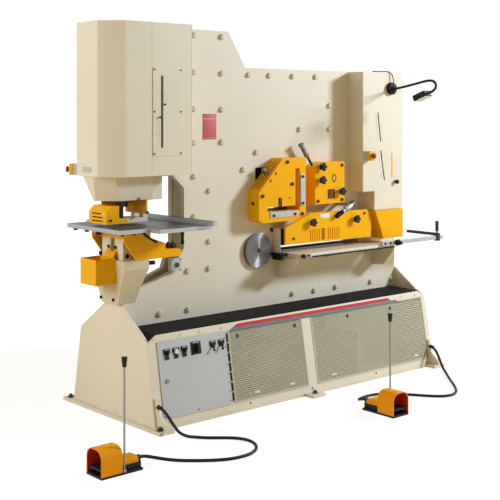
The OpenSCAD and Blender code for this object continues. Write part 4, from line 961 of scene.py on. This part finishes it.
def ribbed_grip(name, along, long, radius, finish):
    profile = [(0, -1), (0.8 * radius, -1), (radius, 1)]
    ribs = int(long / RIB_PITCH)
    for k in range(ribs):
        at = 1 + (long - 2) * k / ribs
        profile += [(radius, at), (radius, at + 2.6), (0.88 * radius, at + 3.4)]
    profile += [(radius, long - 1), (0.8 * radius, long), (0, long)]
    grip = bmesh.new()
    turn_into(grip, profile, along, 28)
    piece(name, grip, finish, "machine", smooth=30)


SPINDLE = along_axis((202, -137.5, 1634), (61, 0, -83))
HOLDDOWN = along_axis((456, -232, 1124), (178, 0, 88))
SPOOL = [(0, -3), (16, -3), (20.5, 0), (20.5, 8), (17, 11), (16.7, 14), (16.7, 82), (17, 85),
         (20.5, 88), (20.5, 97), (16, 100), (9.4, 104), (9.2, 104)]
BARREL = [(13.2, 100), (18, 101), (20, 104), (20, 168), (18, 171), (15, 172)]
spun("spindle_spool", HANDLE_STEEL, SPOOL, SPINDLE, 36, "spindle")
ribbed_grip("flat_holddown_foot", HOLDDOWN, 72, 15.5, BLACK_SOFT)
spun("flat_holddown_barrel", STEEL, BARREL, HOLDDOWN, 36)
ribbed_grip("flat_holddown_ring", spot(HOLDDOWN, 0, 0, 173), 24, 23, HANDLE_STEEL)
print("spindles turned")

# %% [markdown]
# ## Guard end, gussets and the clamp star
#
# A cream plate closes the left end of the flat shear's guard, and two gussets carry the table in front of
# the frame. A dark sill lies behind the blades, at the rear plate. On the section plate sits a black oval
# ring, and in the pivot's centre a small eye. A star knob clamps the section plate: its outline is a circle
# whose radius swings five times in a round, so one cosine draws it.

# %% Sill, ring, eye, guard end, gussets and star
OVAL_RING = [(1, -0.4), (1, 1.4), (0.74, 1.4), (0.74, -0.4)]
OVAL_AT = spot(SECTION, 477, 1393) @ Matrix.Diagonal((21, 29, 1, 1))
PIVOT_EYE = [(15, 0), (15, 1.6), (13, 2), (10, 2), (8, 0.4), (0, 0.4)]
film("rear_sill", DARK_STEEL, block(-4, 880.2, 839, 903), -84, -46, seat((0, 0, 0)), 1)
spun("oval_plate", BLACK, OVAL_RING, OVAL_AT, 36)
spun("pivot_eye", DARK_STEEL, PIVOT_EYE, seat(PIVOT_AT), 32)
GUARD_END = seat((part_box("flat_shear_guard")[0][0] / MM, 0, 0), (0, -1, 0))
GUARD_TOP = 1072
film("guard_end_plate", CREAM, block(86, 905, 170, GUARD_TOP), 0, 3, GUARD_END, 0.6)
# A dark strip beside the end plate: painted shade on the guard's side.
film("guard_end_shade", PAINTED_SHADE_BLACK, block(170, 958, 201, GUARD_TOP), 0, 0.6, GUARD_END)
TABLE_GUSSET = [(85.3, 728), (200, 741), (300, 854), (300, 869), (85.3, 869)]
gussets = bmesh.new()
for x in (24, 992):
    cut_into(gussets, TABLE_GUSSET, 0, 8, seat((x, 0, 0), (0, -1, 0)), 1)
piece("table_gussets", gussets, CREAM, "machine")
STAR_RADIUS = 30
LOBES = 5
CLAMP_AT = spot(SECTION, 343, 1476)
star = []
for k in range(60):
    turn = math.radians(6 * k)
    reach = (0.8 + 0.2 * math.cos(LOBES * turn)) * STAR_RADIUS
    star.append((reach * math.cos(turn), reach * math.sin(turn)))
star_knob = bmesh.new()
cut_into(star_knob, star, 18, 38, CLAMP_AT)
turn_into(star_knob, [(11, 0), (11, 18), (14, 38), (14, 42), (0, 42)], CLAMP_AT, 24)
piece("clamp_star", star_knob, BLACK, "machine")
print("shear stations dressed")

# %% [markdown]
# ## Shear table
#
# At the table's left end a black clamp holds the lower blade, and small clamping knobs sit along the front
# edge and on the length bar. The bar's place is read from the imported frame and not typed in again.

# %% Clamps of the shear table
bar_low, bar_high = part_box("length_bar")
bar_mid = (bar_low[2] + bar_high[2]) / 2 / MM
BAR_FACE = seat((0, bar_low[1] / MM, 0))
BLADE_END = seat((0, -196, 0))
EDGE_MID = 893
clamps = bmesh.new()
cut_into(clamps, block(-40, 882, 21, 904), -108, 0, BLADE_END, 2)
cut_into(clamps, block(-34, 858, -6, 882), -92, -16, BLADE_END, 2)
screws_into(clamps, BLADE_END, [(-20, EDGE_MID), (6, EDGE_MID)], 8, 8)
knob_into(clamps, spot(TABLE_EDGE, 47, EDGE_MID), radius=16, tall=30)
knob_into(clamps, spot(TABLE_EDGE, 106, EDGE_MID), radius=9, tall=16)
cut_into(clamps, block(968, bar_mid - 22, 1006, bar_mid + 22), 0, 14, BAR_FACE, 2)
knob_into(clamps, spot(BAR_FACE, 987, bar_mid, 14), radius=15, tall=30)
screws_into(clamps, BAR_FACE, [(862, bar_mid), (916, bar_mid)], 8, 7)
piece("table_clamps", clamps, BLACK, "machine")
print("bar at", round(bar_mid), "mm")

# %% [markdown]
# ## The punch station's small parts
#
# Around the die there is much to set and clamp: feet and bolts under the table, a lever, a block on the
# bracket's arm, a handle on the pedestal and the two bolts of the slug bin. They are black, and most are
# turned. The lever and the hanging handle taper, so they are pulled with a radius for each point.

# %% Levers, knobs and bolts around the die
HOOD_SIDE = seat((0, -95, 0))
HANGER = seat((0, -112, 0))
HEAD_SIDE = seat((0, -115, 0))
BRACKET = seat((0, -179, 0))
BRACKET_BLOCK = seat((0, -165, 1046), (1, 0, 0), (0, 1, 0))
HOLDER = seat((0, -113, 0))
BIN_FACE = seat((-1258, 0, 0), (0, -1, 0))
PEDESTAL_END = seat((-1277, 0, 0), (0, -1, 0))
TABLE_UNDER = 1140
LEVER = ((-1196, -236, 1142), (-1178, -238, 1118), (-1142, -244, 1092), (-1106, -250, 1072))
LEVER_RADII = (13, 9, 6, 8)
HANGING = ((-842, -160, 1142), (-840, -158, 1110), (-836, -152, 1072), (-832, -148, 1030))
HANGING_RADII = (15, 13, 9, 12)


def below_table(x, y):
    return seat((x, y, TABLE_UNDER), (1, 0, 0), (0, -1, 0))


station = bmesh.new()
screws_into(station, HOOD_SIDE, [(-1333, 1206)], 8, 7)
screws_into(station, HANGER, [(-1076, 1240)], 9, 8)
screws_into(station, HEAD_SIDE, [(-1143, 1329)], 6, 9)
for y in (211, 83):
    turn_into(station, [(15, 0), (15, 7), (12, 12), (0, 12)], below_table(-1385, y), 20)
for x in (-1368, -1285):
    turn_into(station, [(11, 0), (11, 10), (9, 12), (0, 12)], below_table(x, -272), 6)
knob_into(station, below_table(-1300, 84), radius=19, tall=38)
screws_into(station, HOLDER, [(-1176, 985), (-1226, 985)], 11, 10, washer=14)
screws_into(station, BIN_FACE, [(-38, 1034), (38, 1034)], 9, 7, washer=12)
screws_into(station, PEDESTAL_END, [(-90, 718), (44, 718)], 10, 9)
cut_into(station, block(-976, 1018, -908, 1046), -26, 8, BRACKET, 3)
screws_into(station, BRACKET_BLOCK, [(-960, 0), (-924, 0)], 8, 9)
screws_into(station, BRACKET, [(-942, 1032)], 9, 8, out=8)
knob_into(station, seat((-1255, 130, 962), (1, 0, 0), (0, 1, 0)), radius=13, tall=34)
for route, radii in ((LEVER, LEVER_RADII), (HANGING, HANGING_RADII)):
    pull_into(station, [Vector(p) * MM for p in route], [r * MM for r in radii])
piece("station_fittings", station, BLACK, "machine")
print("station fitted")

# %% Bin hanger, cross member, handle and limit switch
BIN_SLOPE = seat((-1291, 0, 974), (0, -1, 0), (0.62, 0, 0.785))
BIN_HANGER = [(-60, 0), (60, 0), (60, 20), (52, 46), (-52, 46), (-60, 20)]
CROSS_FACE = seat((-1262, 0, 0), (0, -1, 0))
film("bin_hanger", AMBER, BIN_HANGER, 0, 4, BIN_SLOPE, 0.8)
film("table_cross_member", AMBER, block(-178, 1092, 178, 1139), 0, 6, CROSS_FACE, 1)
ribbed_grip("pedestal_handle", along_axis((-1113, -150, 937), (1, 0, -0.03)), 62, 13, BLACK_SOFT)
dial = bmesh.new()
turn_into(dial, [(16, 44), (16, 46), (13, 47), (12, 45), (6, 45), (5, 47), (0, 47)],
          spot(FRONT, -859.5, 899.5), 28)
screws_into(dial, FRONT, [(x, z) for x in (-890, -829) for z in (867, 932)], 4, 3, out=38)
piece("limit_switch_dial", dial, DARK_STEEL, "machine")
print("punch station dressed")

# %% [markdown]
# ## The control door
#
# Six units sit in a row on the door, each a black block with a small bare plate over it. The round ones
# get a collar, and the two at the right a lever. Below is a lock with a slot. Everything here rides on the
# door and swings with it.

# %% Units and lock
UNITS = (-1124, -1056.1, -993.3, -904.4, -773.7, -705.7)
MAIN_UNIT = UNITS[3]
UNIT_ROW = 434.8
DOOR_FACE = 5.0
UNIT_FACE = DOOR_FACE + 3.4
collars = bmesh.new()
plates = bmesh.new()
for x in UNITS:
    half, low, high = (38, -38, 38) if x == MAIN_UNIT else (25, -4, 24)
    unit = block(x - half, UNIT_ROW + low, x + half, UNIT_ROW + high)
    cut_into(collars, unit, DOOR_FACE, UNIT_FACE, LEAN, 0.8)
    plate = block(x - 0.6 * half, UNIT_ROW + high - 9, x + 0.6 * half, UNIT_ROW + high - 3)
    cut_into(plates, plate, UNIT_FACE, DOOR_FACE + 4, LEAN)
for x in UNITS[:3]:
    turn_into(collars, [(16.5, 8), (16.5, 9.4), (15, 10.4), (14.3, 10.4)], spot(LEAN, x, UNIT_ROW), 32)
    foot_block = block(x - 13, UNIT_ROW - 38, x + 13, UNIT_ROW - 19)
    cut_into(collars, foot_block, DOOR_FACE, DOOR_FACE + 8, LEAN, 1.5)
for x in UNITS[4:]:
    route = ((x, UNIT_ROW - 4, 10), (x - 5, UNIT_ROW - 18, 22), (x - 12, UNIT_ROW - 34, 31))
    pull_into(collars, [LEAN @ Vector(at) for at in route], [r * MM for r in (7, 5, 8)])
piece("door_fittings", collars, BLACK, "door")
lock = bmesh.new()
turn_into(lock, [(14, 5), (14, 8), (12, 10), (5, 10), (4, 8.8), (0, 8.8)], spot(LEAN, -1139.6, 273), 32)
cut_into(lock, block(-1150, 271.6, -1129, 274.4), 9.8, 10.6, LEAN)
piece("door_lock", lock, HANDLE_STEEL, "door")
piece("door_label_plates", plates, BOX_GREY, "door")
print("units on the door:", len(UNITS))

# %% [markdown]
# ## The door's hinge
#
# The door hangs on a piano hinge: knuckles in a row on one long pin, with small screws beside them. The
# solid has the knuckles. Dark sleeves of painted shade around the door's own half of them turn with the
# door about the pin, and a dark strip of painted shade on the machine fills the joint to the panel.

# %% Hinge screws, sleeves and joint strip
PIN_X = -655.9
PIN_OUT = 5.3
KNUCKLE_LOW = 69.0
KNUCKLE_RUN = 426.5
SLEEVE = [(5.25, 0.5), (5.25, 50.5)]
door_screws = bmesh.new()
screws_into(door_screws, LEAN, [(-676, 84 + 54 * k) for k in range(8)], 3.6, 2.2, out=DOOR_FACE)
screws_into(door_screws, LEAN, [(-1175, 74), (-930, 74)], 4.5, 2.6, out=DOOR_FACE)
piece("door_screws", door_screws, DARK_STEEL, "door")
# Sleeves over the door's knuckles, dark as painted shade of the hinge.
sleeves = bmesh.new()
for k in range(7):
    share = 0.02 + 0.14 * k
    start = LEAN @ Vector((PIN_X, KNUCKLE_LOW + share * KNUCKLE_RUN, PIN_OUT)) / MM
    turn_into(sleeves, SLEEVE, seat(start, (1, 0, 0), LEAN_IN), 20)
piece("hinge_sleeves", sleeves, PAINTED_SHADE_BLACK, "door")
# A dark strip in the joint to the panel: painted shade.
film("hinge_line", PAINTED_SHADE_BLACK, block(-651, 70, -645.5, 494), 0, 6, LEAN, 1)
print("door fitted")

# %% [markdown]
# ## Pedals
#
# Each pedal is a hood over a treadle. The hood is painted red inside, so a thin lining follows its arch a
# hair inside the solid. The carrying rod is bright steel, so a sleeve covers the solid's rod up to the
# black grip. Ribs on the treadle keep the shoe from slipping.

# %% Hood linings
LEFT_PEDAL = seat((-1680, -850, 0), (0, 1, 0))
RIGHT_PEDAL = seat((67, -905, 0), (-1, 0, 0))
HOOD_HALF = 64.6
HOOD_TALL = 140.6
HOOD_ROUND = 46.6
HOOD_LOW = 12.6
HOOD_MOUTH = -254
HOOD_BACK = -132.6


def arch(inset, steps=10):
    """The hood's inner outline as (across, up), moved in by an inset."""
    half = HOOD_HALF - inset
    tall = HOOD_TALL - inset
    radius = HOOD_ROUND - inset
    points = [(-half, HOOD_LOW), (-half, tall - radius)]
    for k in range(1, 2 * steps):
        turn = math.pi * (1 - k / (2 * steps))
        lean_in = half - radius if turn > math.pi / 2 else radius - half
        points.append((radius * math.cos(turn) - lean_in, tall - radius + radius * math.sin(turn)))
    return points + [(half, tall - radius), (half, HOOD_LOW)]


lining = bmesh.new()
for where in (LEFT_PEDAL, RIGHT_PEDAL):
    skins = [arch(inset=0), arch(inset=1)]
    rows = [[lining.verts.new(where @ Vector((y, z, x))) for y, z in skin]
            for x in (HOOD_MOUTH, HOOD_BACK) for skin in skins]
    for one, two in ((0, 1), (1, 3), (3, 2), (2, 0)):
        for k in range(len(rows[0]) - 1):
            lining.faces.new((rows[one][k], rows[one][k + 1], rows[two][k + 1], rows[two][k]))
    cut_into(lining, arch(inset=0.2), -133.6, -132.4, where)
piece("hood_linings", lining, PEDAL_RED, "machine")
print("hoods lined")

# %% Rods, treadle ribs and glands
rods = bmesh.new()
for x, y in ((-1792, -913), (130, -1017)):
    turn_into(rods, [(11, 12), (11, 20), (9, 24), (5.2, 25), (5.2, 546), (8, 547), (8, 549.5), (5, 549.5)],
              seat((x, y, 0), (1, 0, 0), (0, 1, 0)), 20)
piece("carrying_rods", rods, TABLE_STEEL, "machine")
for side, where in (("left", LEFT_PEDAL), ("right", RIGHT_PEDAL)):
    ribs = bmesh.new()
    for k in range(9):
        cut_into(ribs, block(-46, 46, 46, 47.6), -242 + 11 * k, -237 + 11 * k, where)
    piece(side + "_treadle_ribs", ribs, BLACK_SOFT, side + "_pedal")
glands = bmesh.new()
for x in (-1228, 1228):
    turn_into(glands, [(14, -2), (14, 5), (13, 7), (12, 8), (11.5, 16), (10.4, 26), (9.6, 34), (9.2, 34)],
              seat((x, -434, 140)), 24)
piece("bracket_glands", glands, BLACK, "machine")
print("pedals finished")

# %% [markdown]
# ## Floor and sky
#
# The floor and the sky look white to the camera and in reflections, but they light the machine only as
# much as a pale, warm room would. Light Path tells the two kinds of ray apart. Far from the machine the
# floor glows fully, so that no horizon shows, and near it the floor keeps the shadow.

# %% Floor and sky
SEEN_RAYS = ("Is Camera Ray", "Is Glossy Ray", "Is Transmission Ray")
FLOOR_SIZE = 40
FLOOR_GLOW = 1.15
NEAR_GLOW = 0.74
ROOM_LIGHT = 0.28
WARM_ROOM = (1.0, 0.86, 0.50, 1)
PLAIN_WHITE = (1, 1, 1, 1)


def seen(nodes):
    """1 where a ray ends in the picture, in a mirror or behind glass, and 0 where it carries light."""
    camera_ray, glossy_ray, clear_ray = [nodes.node("LightPath", {}, {}, out=ray) for ray in SEEN_RAYS]
    return camera_ray + glossy_ray + clear_ray


floor_mesh = bmesh.new()
bmesh.ops.create_grid(floor_mesh, x_segments=1, y_segments=1, size=FLOOR_SIZE)
floor_data = bpy.data.meshes.new("floor")
floor_mesh.to_mesh(floor_data)
floor_mesh.free()
floor = bpy.data.objects.new("floor", floor_data)
floor.location.z = -0.001
bpy.context.scene.collection.objects.link(floor)
pale = Finish("pale_floor")
in_picture = pale.node("LightPath", {}, {}, out="Is Camera Ray")
pale.set(Base_Color=pale.mix(in_picture, linear("#e6d6a8"), linear("#f4f2ee")), Roughness=0.8)
far = pale.vector("LENGTH", {0: pale.place()}, out="Value") * 0.55 - 1.1
far = far.math("MINIMUM", far.math("MAXIMUM", far, 0.0), 1.0)
share = seen(pale) * (NEAR_GLOW + far * (1 - NEAR_GLOW))
glow = pale.node("Emission", {}, {"Color": PLAIN_WHITE, "Strength": FLOOR_GLOW})
matte = Wire(pale.tree, pale.shader.outputs[0])
put(pale.tree, pale.node("MixShader", {}, {0: share, 1: matte, 2: glow}), pale.output.inputs[0])
floor_data.materials.append(pale.material)

world = bpy.data.worlds.new("studio")
world.use_nodes = True
bpy.context.scene.world = world
sky = Nodes(world.node_tree)
background = world.node_tree.nodes["Background"]
bright = seen(sky)
put(sky.tree, ROOM_LIGHT + bright * (1 - ROOM_LIGHT), background.inputs["Strength"])
put(sky.tree, sky.mix(bright, WARM_ROOM, PLAIN_WHITE), background.inputs["Color"])
print("floor and sky set")

# %% [markdown]
# ## Soft boxes
#
# A product photograph like this is lit by big soft boxes. A cool one stands high up at the front right and
# draws the shadows to the left. A weaker one at the punch end lifts the cover's side.


# %% Lights
def soft_box(name, at, aim, size, power, colour):
    """A square area light, in metres and watts."""
    light = bpy.data.lights.new(name, "AREA")
    light.shape = "RECTANGLE"
    light.size = size
    light.size_y = size
    light.energy = power
    light.color = colour
    made = bpy.data.objects.new(name, light)
    made.location = at
    made.rotation_euler = (Vector(aim) - Vector(at)).to_track_quat("-Z", "Y").to_euler()
    bpy.context.scene.collection.objects.link(made)


soft_box("key_box", at=(6.1, -4.5, 4.3), aim=(0, 0, 1.1), size=1.2, power=715, colour=(0.76, 0.865, 1.0))
soft_box("end_box", at=(-6.0, 0.6, 3.0), aim=(-1.0, 0, 1.2), size=2.5, power=158, colour=(0.93, 0.96, 1.0))
print("lights:", len(bpy.data.lights))
